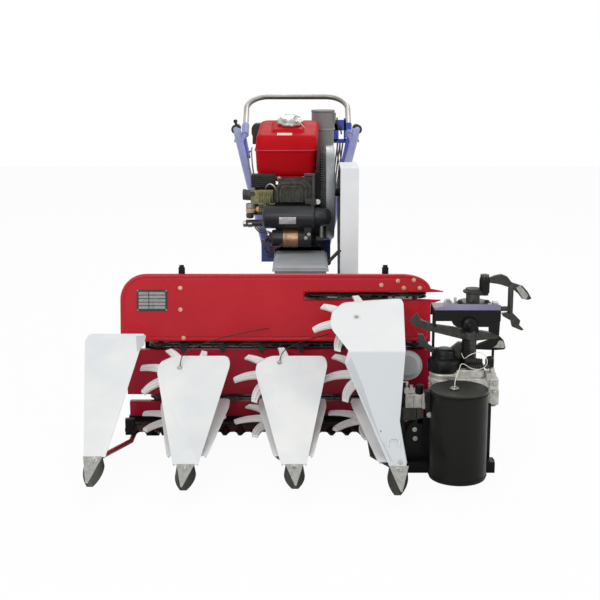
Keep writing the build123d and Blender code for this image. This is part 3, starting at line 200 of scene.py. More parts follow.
RED_ENAMEL = enamel("red_enamel", "#BA1E2B", "#B21A27", shine=0.14)
# A darker copy of the red enamel for the middle and lower panels: painted shade of the star wheels over
# them
RED_ENAMEL_PAINTED_SHADE = enamel("red_enamel_painted_shade", "#A8182F", "#9C142B", rough=0.34, shine=0.14)
TANK_RED_ENAMEL = enamel("tank_red_enamel", "#BE111B", "#B50F18", rough=0.44, coat=0.0, shine=0.06)
# A lighter red for the tank's seam flange: a painted highlight along the seam
SEAM_RED_PAINTED_HIGHLIGHT = enamel("red_enamel_painted_highlight", "#C23B45", "#B8323C", rough=0.3)
WHITE_ENAMEL = enamel("white_enamel", "#E9EAE8", "#DDE0E2", rough=0.38)
GUARD_WHITE = enamel("guard_white_enamel", "#ECEEEF", "#E3E6E8", rough=0.4)
BLACK_ENAMEL = enamel("black_enamel", "#111112", "#161616", rough=0.42, shine=0.12)
CAN_BLACK = enamel("can_black_enamel", "#161613", "#11110F", rough=0.34, shine=0.12)
LID_BLACK = enamel("lid_black_enamel", "#2A2B26", "#232420", rough=0.4, coat=0.1)
BLUE_ENAMEL = enamel("blue_enamel", "#4052B0", "#36449A", rough=0.3)
# Handle blue: pale lavender above 690 mm, a painted sheen of the light on the arms' upper parts, over
# saturated blue below 600 mm
BLUE_ENAMEL_PAINTED_SHEEN = two_tone_and_painted_light(
    "blue_enamel_painted_sheen_above", "#9EA3CD", "#868BBF", "#5561A6", "height", 600 * MM,
    690 * MM, 0.32,
)
DISC_GREY = enamel("pale_grey_enamel", "#C2C5C8", "#B3B6B9", rough=0.4)
BOX_GREY = enamel("grey_enamel", "#AFB3B6", "#A1A5A8", rough=0.42, coat=0.1)
CLEANER_GREY = enamel("warm_grey_enamel", "#7F7D7C", "#757372", rough=0.42, coat=0.1)
# Lavender over the black table's top: a painted sheen of the sky on it
TABLE_TOP_PAINTED_SHEEN = enamel("violet_painted_sheen", "#85829E", "#727089", rough=0.28)
ENGINE_IRON = sand_casting("painted_engine_iron", "#4A4A48", "#333331", metallic=0.25)
DARK_IRON = sand_casting("dark_cast_iron", "#2E2D2B", "#242322", metallic=0.3)
ALUMINIUM = sand_casting("cast_aluminium", "#D0CFC7", "#AEADA5", rough=0.48, metallic=0.35)
ARM_STEEL = bare_metal("forged_steel", "#393934", "#282824", rough=0.4, metallic=0.3)
TOE_BLACK = enamel("toe_black_enamel", "#2E2E2A", "#262622", rough=0.4)
HUB_BLACK = enamel("hub_black_enamel", "#0F0F0F", "#141414", rough=0.36, shine=0.12)
WORN_STEEL = bare_metal("worn_bright_steel", "#A9A9A4", "#8D8D88", rough=0.35, metallic=0.5)
# Plated tube that turns dark on the faces that point down: painted shade under the tube
BAR_STEEL_PAINTED_SHADE = two_tone_and_painted_light(
    "plated_tube_painted_shade_below", "#C4C1BC", "#ADA9A3", "#46433F", "facing", -0.35, 0.85, 0.28, metallic=0.5,
)
TOE_PLATE = bare_metal("worn_sheet_steel", "#A3A3A0", "#8F8F8B", rough=0.42, metallic=0.35)
CAP_METAL = bare_metal("dull_chrome_cap", "#CFCFC8", "#A3A29A", rough=0.32, metallic=0.6, bump=0.08)
CHROME = bare_metal("chrome_plate", "#D8D8D6", "#C4C4C2", rough=0.12, metallic=1.0, bump=0.0)
ZINC = bare_metal("yellow_zinc_plate", "#CBA384", "#B08A6C", rough=0.3, metallic=0.9)
STEEL_BOLT = bare_metal("bright_zinc_plate", "#B9B9B4", "#A09F9A", rough=0.3, metallic=0.9)
COPPER = bare_metal("bronze_band", "#A5866A", "#8C6D52", rough=0.38, metallic=0.8)
CHAIN_STEEL = bare_metal("oiled_chain_steel", "#2B2A29", "#3A3836", rough=0.4, metallic=0.6)
TYRE_RUBBER = moulded("tyre_rubber", "#1E1E1E", "#29282A", rough=0.75, bump=0.15)
GRIP_RUBBER = moulded("grip_rubber", "#18181A", "#202022", rough=0.65, bump=0.1)
BELT_RUBBER = moulded("belt_rubber", "#1C1C1C", "#262626", rough=0.7)
STAR_PLASTIC = moulded("star_nylon", "#ECEBE9", "#E2E0DE", rough=0.5)
TWINE_FIBRE = moulded("polypropylene_twine", "#EFEBE0", "#E2DCCC", rough=0.8, bump=0.3, grain=6)
CABLE_SLEEVE = moulded("cable_sleeve", "#1B1B1B", "#232323", rough=0.5)
PLATE_BLANK = bare_metal("blank_plate", "#8E8E8C", "#7C7C7A", rough=0.35, metallic=0.4)
PLATE_DARK = enamel("anodised_border", "#3A3436", "#2F2A2C", rough=0.4, coat=0.1)
LABEL_GREY = bare_metal("foil_label", "#C2C2C0", "#A4A4A2", rough=0.4, metallic=0.3)
BOWL_CREAM = moulded("cream_bowl", "#D9BFA4", "#BFA184", rough=0.25)
LABEL_CREAM = moulded("cream_label", "#EFE3CF", "#E4D6C0", rough=0.5)
RIM_GREY = bare_metal(
    "turned_rim_grey", "#94979A", "#85888B", rough=0.36, metallic=0.35, grain=40, bump=0.01,
)
OLIVE_PLATE = bare_metal("olive_chromate", "#8D8760", "#6B6748", rough=0.42, metallic=0.45)
BROWN_CASTING = sand_casting("oiled_brown_casting", "#47433D", "#2C2A26", rough=0.5, metallic=0.2)
STARTER_BLACK = enamel("satin_black_enamel", "#282B2E", "#202225", rough=0.36)
# The right cover's white turns grey below its fold: painted shade of the face under the fold
COVER_FOLD_LOW, COVER_FOLD_HIGH = 392, 399
WHITE_ENAMEL_SHADED_BELOW_FOLD = two_tone_and_painted_light(
    "white_enamel_painted_shade_below_fold", "#E9EBEB", "#E3E5E6", "#CDD2D5", "height", COVER_FOLD_LOW * MM,
    COVER_FOLD_HIGH * MM, 0.38,
)
# A grey white for flat patches over the covers' fold and flank: painted shade
FLANK_PAINTED_SHADE = enamel("white_enamel_painted_shade_patch", "#C1C5C8", "#B9BDC1", rough=0.4)
TOE_LENGTH = 88
TOE_ARM_RED = two_tone_and_painted_light(
    "red_arm_dark_toe_enamel", "#A8112E", "#970E29", "#33332D", "behind",
    (TIP_Y + TOE_LENGTH + 1) * MM, (TIP_Y + TOE_LENGTH + 3) * MM, 0.36, shine=0.5, peel=0.05,
)
WIRE_MAROON = moulded("maroon_wire", "#4A1E26", "#38161C", rough=0.45)

NODE_FINISHES = (
    (TYRE_RUBBER, "tyre_left tyre_right"),
    (WHITE_ENAMEL, "rim_left rim_right cover_1 cover_2_upper cover_2_lower cover_3_upper cover_3_lower"),
    (WHITE_ENAMEL, "cover_4_lower"),
    (WHITE_ENAMEL_SHADED_BELOW_FOLD, "cover_4_upper"),
    (GUARD_WHITE, "belt_guard"),
    (RED_ENAMEL, "upper_panel"),
    (RED_ENAMEL_PAINTED_SHADE, "middle_panel lower_panel"),
    (TANK_RED_ENAMEL, "fuel_tank"),
    (TOE_ARM_RED, "divider_arm_1"),
    (TOE_BLACK, "divider_arm_2 divider_arm_3 divider_arm_4"),
    (BLACK_ENAMEL, "chassis header_frame cutter_bar binder_frame binder_table"),
    (CAN_BLACK, "twine_can"),
    (LID_BLACK, "can_lid"),
    (STARTER_BLACK, "starter_motor"),
    (BLUE_ENAMEL_PAINTED_SHEEN, "handle_left handle_right"),
    (BAR_STEEL_PAINTED_SHADE, "top_bar"),
    (BOX_GREY, "battery_box"),
    (CLEANER_GREY, "air_cleaner"),
    (DISC_GREY, "guide_disc"),
    (ENGINE_IRON, "crankcase cylinder_head"),
    (DARK_IRON, "gearbox flywheel_housing silencer"),
    (BROWN_CASTING, "injection_pump"),
    (ALUMINIUM, "binder_casting"),
    (ARM_STEEL, "drive_pulleys knife packer_arms discharge_arms"),
    (CHAIN_STEEL, "chain_middle chain_lower chain_top crop_springs"),
    (BELT_RUBBER, "drive_belt"),
    (GRIP_RUBBER, "grip_left grip_right"),
    (STAR_PLASTIC, "star_2_upper star_2_lower star_3_upper star_3_lower"),
    (STAR_PLASTIC, "star_4_top star_4_upper star_4_lower"),
    (TWINE_FIBRE, "twine"),
)
for finish, names in NODE_FINISHES:
    for name in names.split():
        nodes[name].data.materials.clear()
        nodes[name].data.materials.append(finish)


# Shapes in mesh code

def add_object(name, data):
    """An object of some data, linked to the scene."""
    made = bpy.data.objects.new(name, data)
    bpy.context.scene.collection.objects.link(made)
    return made


def finish_mesh(name, form, material, body="machine", smooth=35):
    """Makes an object of a bmesh, with its material, its smooth shading and the body it rides on."""
    mesh = bpy.data.meshes.new(name)
    bmesh.ops.recalc_face_normals(form, faces=form.faces)
    form.to_mesh(mesh)
    form.free()
    mesh.materials.append(material)
    mesh.shade_smooth()
    mesh.set_sharp_from_angle(angle=math.radians(smooth))
    made = add_object(name, mesh)
    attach(made, body)
    return made


def upright(point, direction):
    """A matrix that puts local +Z along a direction, at a point in metres."""
    return Matrix.Translation(point) @ Vector(direction).to_track_quat("Z", "Y").to_matrix().to_4x4()


def on_seat(seat, x, y, z):
    """A point in metres from millimetres on a seat matrix."""
    return seat @ (Vector((x, y, z)) * MM)


def moved(seat, x, y, z=0):
    """A seat matrix moved by millimetres along its own axes."""
    return seat @ Matrix.Translation(Vector((x, y, z)) * MM)


def add_rings(form, rings, closed=False):
    """Joins rings of points in metres, each with the same count, into a skin."""
    made = [[form.verts.new(point) for point in ring] for ring in rings]
    pairs = list(zip(made, made[1:])) + ([(made[-1], made[0])] if closed else [])
    count = len(made[0])
    for ring, other in pairs:
        for step in range(count):
            after = (step + 1) % count
            form.faces.new((ring[step], ring[after], other[after], other[step]))
    if not closed:
        form.faces.new(made[0][::-1])
        form.faces.new(made[-1])


def add_lathe(form, profile, seat, steps=24, closed=False):
    """Adds a turned shape: (radius, height) points in millimetres about local Z of a seat matrix."""
    turns = [math.tau * step / steps for step in range(steps)]
    add_rings(form, [
        [on_seat(seat, radius * math.cos(turn), radius * math.sin(turn), height) for turn in turns]
        for radius, height in profile
    ], closed)


def add_hexagon_bolt(form, seat, across):
    """Adds a washer and a hexagon head, domed at its top, on a seat matrix."""
    add_lathe(form, ((across * 0.95, 0), (across * 0.95, 1.6), (across * 0.6, 1.7)), seat)
    high = across * 0.52
    add_lathe(
        form,
        ((across * 0.577, 1.5), (across * 0.577, high), (across * 0.48, high + across * 0.06)),
        seat, 6,
    )


def add_box(form, left, right, front, rear, low, high):
    """Adds a block between planes in millimetres: across, behind the toes and above the floor."""
    corners = [
        form.verts.new(place(x, y, z)) for z in (low, high) for x, y in
        ((left, front), (right, front), (right, rear), (left, rear))
    ]
    for face in ((0, 3, 2, 1), (4, 5, 6, 7), (0, 1, 5, 4), (1, 2, 6, 5), (2, 3, 7, 6), (3, 0, 4, 7)):
        form.faces.new([corners[i] for i in face])


def add_prism(form, outline, seat, low, high):
    """Adds a flat outline of (x, y) millimetres, stretched along local Z of a seat matrix."""
    add_rings(form, [[on_seat(seat, x, y, z) for x, y in outline] for z in (low, high)])


def add_frame(form, outer, inner, seat, low, high):
    """Adds a flat frame between two outlines with as many points, stretched along local Z."""
    add_rings(form, [
        [on_seat(seat, x, y, z) for x, y in outline]
        for outline, z in ((outer, low), (outer, high), (inner, high), (inner, low))
    ], closed=True)


def quarter(x, y, wide, tall, start, steps):
    """A quarter of an ellipse about a middle, from a start in degrees, as (x, y) points."""
    turns = [math.radians(start + 90 * step / steps) for step in range(steps + 1)]
    return [(x + wide * math.cos(turn), y + tall * math.sin(turn)) for turn in turns]


def rounded_rectangle(half_x, half_y, corner, steps=6):
    """A rectangle of (x, y) points about its middle, with round corners."""
    points = []
    for start, side_x, side_y in ((0, 1, 1), (90, -1, 1), (180, -1, -1), (270, 1, -1)):
        points += quarter(
            side_x * (half_x - corner), side_y * (half_y - corner), corner, corner, start, steps,
        )
    return points


def round_edges(made, width, segments=2):
    """Rounds the sharp edges of a piece by a width in millimetres."""
    bevel = made.modifiers.new("edge", "BEVEL")
    bevel.width = width * MM
    bevel.segments = segments
    bevel.limit_method = "ANGLE"
    bevel.angle_limit = math.radians(40)
    bevel.harden_normals = True
    return made


def make_lathe(name, material, foot, direction, profile, steps=32):
    """One turned piece, with its local Z along a direction from its foot in millimetres."""
    form = bmesh.new()
    add_lathe(form, profile, upright(place(*foot), direction), steps)
    finish_mesh(name, form, material)


def make_boxes(name, material, width, boxes):
    """One object of blocks with their edges rounded by a width."""
    form = bmesh.new()
    for box in boxes:
        add_box(form, *box)
    round_edges(finish_mesh(name, form, material), width)


def make_prisms(name, material, width, seat, low, high, outlines):
    """One object of flat outlines on a seat matrix, with rounded edges where a width is given."""
    form = bmesh.new()
    for outline in outlines:
        add_prism(form, outline, seat, low, high)
    made = finish_mesh(name, form, material)
    if width:
        round_edges(made, width)


def make_wire(name, material, radius, points, order=3):
    """A round wire or cable along points in millimetres, as a smooth curve."""
    curve = bpy.data.curves.new(name, "CURVE")
    curve.dimensions = "3D"
    curve.bevel_depth = radius * MM
    curve.bevel_resolution = 4
    curve.resolution_u = 12
    curve.use_fill_caps = True
    spline = curve.splines.new("NURBS")
    spline.points.add(len(points) - 1)
    for slot, point in zip(spline.points, points):
        slot.co = (*place(*point), 1.0)
    spline.order_u = order
    spline.use_endpoint_u = True
    curve.materials.append(material)
    made = add_object(name, curve)
    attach(made, "machine")
    return made


# Soft edges of the CAD nodes that stay in view, by width
SOFT_EDGES = (
    (0.8, "cutter_bar"),
    (1.0, "middle_panel lower_panel cover_1 cover_2_upper cover_3_upper cover_4_upper cover_2_lower"),
    (1.0, "cover_3_lower cover_4_lower binder_frame"),
    (1.5, "belt_guard can_lid"),
    (2.0, "chassis"),
    (2.5, "injection_pump"),
    (3.0, "crankcase battery_box starter_motor gearbox discharge_arms silencer"),
    (3.5, "packer_arms"),
)
for width, names in SOFT_EDGES:
    for name in names.split():
        weld = nodes[name].modifiers.new("weld", "WELD")
        weld.merge_threshold = 0.00001
        round_edges(nodes[name], width)

# Star wheels: ribbed nylon fingers round a hub, on the CAD's spindles
STARS = (
    ("star_2_upper", -407, 470, 268, 26, 0), ("star_2_lower", -406, 483, 117, 9.5, 0),
    ("star_3_upper", -93, 470, 268, 26, 25), ("star_3_lower", -93, 483, 117, 9.5, 25),
    ("star_4_top", 164, 472, 442, 28, 28.5), ("star_4_upper", 197, 470, 270, 26, 25),
    ("star_4_lower", 213, 483, 117, 9.5, 50),
)
STAR_FINGERS = 7
STAR_BORE = 8.5
FINGER_LOWER = ((28, -22), (92, -17), (143, 14))
FINGER_UPPER = ((28, 17), (86, 14), (137, 33))
FINGER_RELIEF = (
    (0, 3.0), (0.04, 4.8), (0.15, 5.0), (0.2, 2.0), (0.44, 1.8), (0.5, 5.2), (0.62, 5.5), (0.68, 1.8),
    (0.83, 2.0), (0.88, 5.0), (0.97, 4.8), (1, 3.0),
)


def arc_points(start, middle, end, shares):
    """Points at shares of the circular arc through three points."""
    a, b, c = (Vector(point) for point in (start, middle, end))
    span = 2 * (a.x * (b.y - c.y) + b.x * (c.y - a.y) + c.x * (a.y - b.y))
    squares = [point.length_squared for point in (a, b, c)]
    centre = Vector((
        (squares[0] * (b.y - c.y) + squares[1] * (c.y - a.y) + squares[2] * (a.y - b.y)) / span,
        (squares[0] * (c.x - b.x) + squares[1] * (a.x - c.x) + squares[2] * (b.x - a.x)) / span,
    ))
    sweep = (a - centre).angle_signed(c - centre)
    return [centre + Matrix.Rotation(-sweep * share, 2) @ (a - centre) for share in shares]


def make_star(name, x, behind, z, slope, turn):
    """A star wheel of one moulding, with a rib and rims along each finger."""
    form = bmesh.new()
    seat = Matrix.Translation(place(x, behind, z)) @ Matrix.Rotation(math.radians(slope), 4, "X")
    shares = [step / 12 for step in range(12)] + [0.97, 1.0]
    lower = arc_points(*FINGER_LOWER, shares)
    upper = arc_points(*FINGER_UPPER, shares)
    for finger in range(STAR_FINGERS):
        spin = seat @ Matrix.Rotation(math.radians(turn) + math.tau * finger / STAR_FINGERS, 4, "Z")
        rings = []
        for share, low, high in zip(shares, lower, upper):
            ring = []
            for side, relief_row in ((1, FINGER_RELIEF), (-1, FINGER_RELIEF[::-1])):
                for across, height in relief_row:
                    rise = height
                    if share > 0.95:
                        rise = min(5.0, max(height, 4.6)) * (1.0 if share < 1 else 0.5)
                    ring.append(on_seat(spin, *low.lerp(high, across), side * rise))
            rings.append(ring)
        add_rings(form, rings)
    for profile in (
        ((STAR_BORE, -5.5), (41, -5.5), (41, 5.5), (STAR_BORE, 5.5)),
        ((STAR_BORE, -12), (27, -12), (29, -10), (29, 10), (27, 12), (22, 12), (20, 9), (STAR_BORE, 9)),
    ):
        add_lathe(form, profile, seat, 40, closed=True)
    star = finish_mesh(f"{name}_moulding", form, STAR_PLASTIC, name, smooth=30)
    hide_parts(name)
    return star


for star in STARS:
    make_star(*star)

# Toes: worn steel plates over dark cheeks, each with a bright bolt under the cover's edge
TOES = (
    ("1", -631.5, 126, 65, (-33, 25, -6, -13)), ("2", -359, 102, 54, (-27, 27, -3, -8)),
    ("3", -34, 102, 59, (-27, 27, 7, 2)), ("4", 275.5, 96, 39, (-26, 33, 8, 2)),
)
TOE_PLATE_SHARE = 0.95
for number, x, z, tip_z, corners in TOES:
    left, right, tip_right, tip_left = corners
    rise = z - tip_z - 6
    length = math.hypot(TOE_LENGTH, rise) * TOE_PLATE_SHARE
    lean = math.atan2(rise, TOE_LENGTH)
    seat = Matrix.Translation(place(x, TOE_LENGTH, z)) @ Matrix.Rotation(lean, 4, "X")
    outline = ((left, 1), (right, 1), (tip_right, -length), (tip_left, -length))
    make_prisms(f"toe_plate_{number}", TOE_PLATE, 0.6, seat, -0.5, 1.8, [outline])
    form = bmesh.new()
    add_hexagon_bolt(form, moved(seat, 0, -11, 1.4), 11)
    finish_mesh(f"toe_bolt_{number}", form, STEEL_BOLT)

# Panel and cover fittings
PANEL_LEFT, PANEL_RIGHT, PANEL_FOOT, PANEL_TOP, PANEL_BEHIND = -628, 425, 343, 571, 632
PANEL_LEAN = math.radians(8.6)
PANEL_OUT = (0, -math.cos(PANEL_LEAN), math.sin(PANEL_LEAN))


def on_panel(x, z):
    """A point on the upper panel's face, in millimetres."""
    return x, PANEL_BEHIND + (z - PANEL_FOOT) * math.tan(PANEL_LEAN), z


plate_seat = upright(place(*on_panel(-519, 482.5)), PANEL_OUT)
make_prisms("data_plate", PLATE_DARK, 0.4, plate_seat, 0, 1.4, [rounded_rectangle(52, 36.5, 2, 3)])
form = bmesh.new()
for row in range(5):
    for left, right in ((-45, -12), (-9, 45)):
        add_prism(
            form, rounded_rectangle((right - left) / 2, 4.6, 0.8, 2),
            moved(plate_seat, (left + right) / 2, 24 - row * 12), 1.2, 1.9,
        )
finish_mesh("data_plate_fields", form, PLATE_BLANK)
form = bmesh.new()
for x, y in ((-48.5, 33), (48.5, 33), (-48.5, -33), (48.5, -33)):
    add_lathe(form, ((2.4, 1.3), (2.4, 2.0), (1.2, 2.9)), moved(plate_seat, x, y), 12)
finish_mesh("data_plate_rivets", form, ZINC)


def cover_normal(slope):
    """The outward direction of a cover's face from its slope in degrees."""
    return (0, -math.sin(math.radians(slope)), math.cos(math.radians(slope)))


# The fold of the left cover and the flank of the right one, as thin grey patches laid on the covers that
# paint their shade
make_prisms(
    "cover_1_fold_shade", FLANK_PAINTED_SHADE, 0, upright(place(-532, 409.2, 365.6), cover_normal(36.7)), -0.4, 0.9,
    [((-17, 66), (15, 68), (12, 29), (-8, 0))],
)
make_prisms(
    "cover_4_flank_shade", FLANK_PAINTED_SHADE, 0, upright(place(0, 88.6, 96.4), cover_normal(54.97)), -0.4, 0.9,
    [((125, 325), (146, 272), (184, 182), (253, 18), (262, 13), (224.5, 90.5), (170.5, 269), (141, 347))],
)

# The left crop spring, a thin wire that stands for the CAD's springs together with the right one
spring = make_wire("crop_spring_2", CHAIN_STEEL, 1.6, (
    (-405, 424, 309), (-404, 428, 330), (-396, 446, 350), (-370, 478, 362), (-330, 520, 368),
    (-240, 580, 382), (-123, 622, 393),
))
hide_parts("crop_springs")

# Upper panel: a pressing with a rolled rim, a slot for the chain and two lips, on the CAD's face
PANEL_RISE = (PANEL_TOP - PANEL_FOOT) / math.cos(PANEL_LEAN)
SLOT_LOW = (486 - PANEL_FOOT) / math.cos(PANEL_LEAN)
SLOT_HIGH = SLOT_LOW + 23
SLOT_LEFT = -2


def panel_outline(inset):
    """The panel's outline, set in from its edge and a third as much from the slot."""
    lip = inset * 0.3
    points = [
        (PANEL_LEFT + inset, inset), (PANEL_RIGHT - inset, inset), (PANEL_RIGHT - inset, SLOT_LOW - lip),
        (SLOT_LEFT - lip, SLOT_LOW - lip), (SLOT_LEFT - lip, SLOT_HIGH + lip),
        (PANEL_RIGHT - inset, SLOT_HIGH + lip),
    ]
    for centre_x, wide, tall, start in (
        (PANEL_RIGHT - 100, 100, 54, 0), (PANEL_LEFT + 88, 88, 88, 90),
    ):
        points += quarter(centre_x, PANEL_RISE - tall, wide - inset, tall - inset, start, 12)
    return points


panel_seat = upright(place(0, PANEL_BEHIND, PANEL_FOOT), PANEL_OUT)
form = bmesh.new()
add_rings(form, [
    [on_seat(panel_seat, x, y, out) for x, y in panel_outline(inset)]
    for inset, out in (
        (18, -2.8), (5, -3.4), (2.5, -8), (2.5, -25), (0, -25), (0, -9), (0.9, -4.8), (3.2, -1.4), (6.5, 0),
        (10, 0), (12.5, -1.0), (14.5, -1.8), (16.5, -1.2), (18, -0.2),
    )
])
for outline in (
    (
        (PANEL_RIGHT - 20, SLOT_HIGH), (PANEL_RIGHT + 42, SLOT_HIGH + 2), (PANEL_RIGHT + 42, SLOT_HIGH + 5),
        (PANEL_RIGHT, SLOT_HIGH + 13), (PANEL_RIGHT - 20, SLOT_HIGH + 16),
    ),
    (
        (PANEL_RIGHT - 20, SLOT_LOW - 16), (PANEL_RIGHT, SLOT_LOW - 15), (PANEL_RIGHT + 33, SLOT_LOW - 4),
        (PANEL_RIGHT + 33, SLOT_LOW - 1), (PANEL_RIGHT - 20, SLOT_LOW),
    ),
):
    add_prism(form, outline, panel_seat, -2.5, -0.3)
panel = finish_mesh("upper_panel_pressing", form, RED_ENAMEL, smooth=32)
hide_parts("upper_panel")

# Header frame: beam, uprights, chain shafts and sprockets, with its narrow tabs over the panel
form = bmesh.new()
add_box(form, -612, 411, 656, 696, 200, 260)
for x in (-421, 272):
    add_box(form, x - 11, x + 11, 696, 702.5, 69, 588)
    add_box(form, x - 8, x + 8, 697, 701.5, 588, 596)
    for z in (385, 545):
        front = on_panel(x, z + 10)[1] + 4
        add_lathe(form, ((10, 0), (10, 697 - front)), upright(place(x, front, z), (0, 1, 0)), 20)
for x, behind, radius, foot, length, sprockets in (
    (-495, 676, 9, 68, 274, (146, 329)), (373, 676, 9, 68, 274, (146, 329)),
    (40, 692, 8, 258, 250, (496.5,)), (373, 692, 8, 258, 250, (496.5,)),
):
    add_lathe(form, ((radius, 0), (radius, length)), upright(place(x, behind, foot), UP), 20)
    for z in sprockets:
        add_lathe(
            form, ((radius, -4), (24, -4), (27, -2), (27, 2), (24, 4), (radius, 4)),
            upright(place(x, behind, z), UP), 28,
        )
frame_piece = round_edges(finish_mesh("header_frame_weldment", form, BLACK_ENAMEL), 1.0)
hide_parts("header_frame")

# Three-cornered lug plates that hang from the middle chain, over the middle panel
form = bmesh.new()
for x in (-414, -281, -147.5, -15, 118):
    lug_seat = upright(place(x, 630.5, 330), TO_CAMERA)
    add_prism(form, ((-17, 0), (-2, -27), (2, -27), (17, 0)), lug_seat, -1.0, 1.5)
    add_prism(form, rounded_rectangle(19, 4, 1.5, 2), lug_seat, -1.5, 3.5)
finish_mesh("chain_lug_plates", form, CHAIN_STEEL)


# Handle arms: a blue tube along the inner side of each arm, darker than the arms' pale upper part, which
# paints the shade of that side; and the control cables down the right one
for side, upper, lower in (
    ("left", (-260, 1900, 936), (-238, 1780, 862)), ("right", (193, 1920, 956), (160, 1760, 843)),
):
    make_wire(f"arm_shade_tube_{side}", BLUE_ENAMEL, 7.5, (upper, lower), order=2)
for number, shift in enumerate((-16, -6, 6)):
    make_wire(f"control_cable_{number + 1}", STARTER_BLACK, 3.5, (
        (160 + shift, 1960, 905), (150 + shift, 1890, 850), (142 + shift, 1830, 800),
        (128 + shift * 0.5, 1640, 755), (119 + shift * 0.3, 1500, 715), (116 + shift * 0.2, 1400, 640),
    ))

# Fuel tank: two pressings with a seam, a roof that slopes to the front and a lobed cap
TANK_X = -72
TANK_BEHIND = 1350
ROOF_RISE = 0.27
ROOF_HEIGHT = 1016
ROOF_OUT = (0, -ROOF_RISE, 1)
# height, half width, half depth, corner, shift back, rise of the ring per millimetre to the back
TANK_RINGS = (
    (836.4, 96, 78, 20, 0, 0), (838.5, 103, 86, 24, 0, 0), (846, 109.5, 92, 27, 0, 0),
    (860, 113.5, 95.5, 28, 0, 0), (928, 117, 98.5, 28, 0, 0), (932, 118.5, 100, 28, 0, 0),
    (933, 121, 103, 30, 0, 0), (939, 121, 103, 30, 0, 0), (940, 118, 100, 28, 0, 0),
    (960, 117, 99, 27, 0, 0.06), (1000, 116, 98, 27, 0, 0.26), (1007, 114, 96, 26, 0, 0.27),
    (1012, 110, 92, 24, 1, 0.27), (1015, 104, 86, 22, 2, 0.27), (1016, 97, 79, 20, 2, 0.27),
)
form = bmesh.new()
add_rings(form, [
    [
        place(TANK_X + x + 0.25 * rise * (y + half_y), TANK_BEHIND + back + y, z + rise * y)
        for x, y in rounded_rectangle(half_x, half_y, corner)
    ]
    for z, half_x, half_y, corner, back, rise in TANK_RINGS
])


def on_roof(x, behind):
    """A point in metres on the sloping roof of the tank."""
    return place(x, behind, ROOF_HEIGHT + ROOF_RISE * (behind - TANK_BEHIND - 2))


roof_seat = upright(on_roof(-66, 1356), ROOF_OUT)
add_rings(form, [
    [on_seat(roof_seat, x, y, height) for x, y in rounded_rectangle(half_x, half_y, 8, 4)]
    for half_x, half_y, height in ((64, 62, -1), (63, 61, 1), (55, 54, 8), (52, 51, 9))
])
tank = finish_mesh("tank_pressings", form, TANK_RED_ENAMEL, smooth=50)
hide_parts("fuel_tank")
# The seam flange in the lighter red, a painted highlight along it
form = bmesh.new()
add_frame(
    form, rounded_rectangle(121.4, 103.4, 30), rounded_rectangle(117, 99, 28),
    upright(place(TANK_X, TANK_BEHIND, 933.5), UP), 0, 5,
)
round_edges(finish_mesh("tank_seam", form, SEAM_RED_PAINTED_HIGHLIGHT), 1.5)
CAP_X = -58
cap_seat = upright(on_roof(CAP_X, 1372), ROOF_OUT)
CAP_LOBES, CAP_LOBE_HEIGHT, CAP_STEPS = 9, 3.0, 72
form = bmesh.new()
rings = []
for radius, lobe, height in (
    (38, 0.0, 6), (40, 0.0, 11), (46.5, 1.0, 12), (48.5, 1.0, 14), (48.5, 1.0, 20), (45, 0.8, 23),
    (38.5, 0.1, 24), (38, 0.0, 36), (36, 0.0, 38.5), (30, 0.0, 38.5), (28, 0.0, 36.5), (12, 0.0, 37.5),
):
    ring = []
    for step in range(CAP_STEPS):
        turn = math.tau * step / CAP_STEPS
        swell = radius + CAP_LOBE_HEIGHT * lobe * math.cos(CAP_LOBES * turn)
        ring.append(on_seat(cap_seat, swell * math.cos(turn), swell * math.sin(turn), height))
    rings.append(ring)
add_rings(form, rings)
finish_mesh("tank_cap", form, CAP_METAL, smooth=40)
make_prisms(
    "tank_label", LABEL_CREAM, 0, upright(on_roof(-78, 1277), ROOF_OUT), -0.5, 1.0,
    [rounded_rectangle(28.5, 12.5, 2.5, 3)],
)


# Engine: rocker cover with its fins, radiator, pump head and the starter's label

def arch(half_x, low, high, corner):
    """An outline with a flat foot and round shoulders, as (x, y) points."""
    points = [(-half_x, low), (half_x, low)]
    for side, start in ((1, 0), (-1, 90)):
        points += quarter(side * (half_x - corner), high - corner, corner, corner, start, 6)
    return points


rocker_seat = upright(place(-51, 1156, 790), TO_CAMERA)
form = bmesh.new()
add_prism(form, arch(57, -38, 38, 26), rocker_seat, 0, 5)
add_frame(form, arch(57, -38, 38, 26), arch(50, -38, 31, 20), rocker_seat, 4, 12)
add_frame(form, arch(43, -38, 24, 18), arch(37, -38, 18, 14), rocker_seat, 4, 11)
for x in (-17, 17):
    add_frame(form, arch(14, -38, 14, 12), arch(9, -38, 9, 8), moved(rocker_seat, x, 0), 4, 10)
for step in range(6):
    add_prism(form, rounded_rectangle(1.6, 14, 1.5, 2), moved(rocker_seat, -20 + step * 8, -17), 4, 8)
round_edges(finish_mesh("rocker_cover", form, ENGINE_IRON), 1.2)
make_boxes("head_fins_front", ENGINE_IRON, 0.8, [
    (-108 + step * 2, 4 - step, 1176, 1190, 753 + step * 10, 756 + step * 10) for step in range(8)
])
make_boxes("radiator_block", DARK_IRON, 1.5, [(-203, -112, 1200, 1246, 800, 850)] + [
    (-206, -109, 1194, 1200, 802 + 8 * step, 805.5 + 8 * step) for step in range(6)
])
form = bmesh.new()
head_seat = upright(place(-160, 1180, 768), TO_CAMERA)
add_prism(form, ((-44, -24), (26, -24), (40, 14), (40, 27), (-44, 27)), head_seat, 0, 12)
for step in range(7):
    left = -16 + step * 8
    add_prism(form, ((left, -62), (left + 3.4, -62), (left + 7.4, 22), (left + 4, 22)), head_seat, 4, 17)
round_edges(finish_mesh("pump_head", form, OLIVE_PLATE), 1.5)
form = bmesh.new()
rows = []
for angle in range(-28, 10, 4):
    turn = math.radians(angle)
    rows.append([
        place(x, 1084 - radius * math.cos(turn), 705 + radius * math.sin(turn))
        for x, radius in ((-96, 41.5), (-96, 42.9), (-34, 42.9), (-34, 41.5))
    ])
add_rings(form, rows)
finish_mesh("starter_label", form, LABEL_GREY)

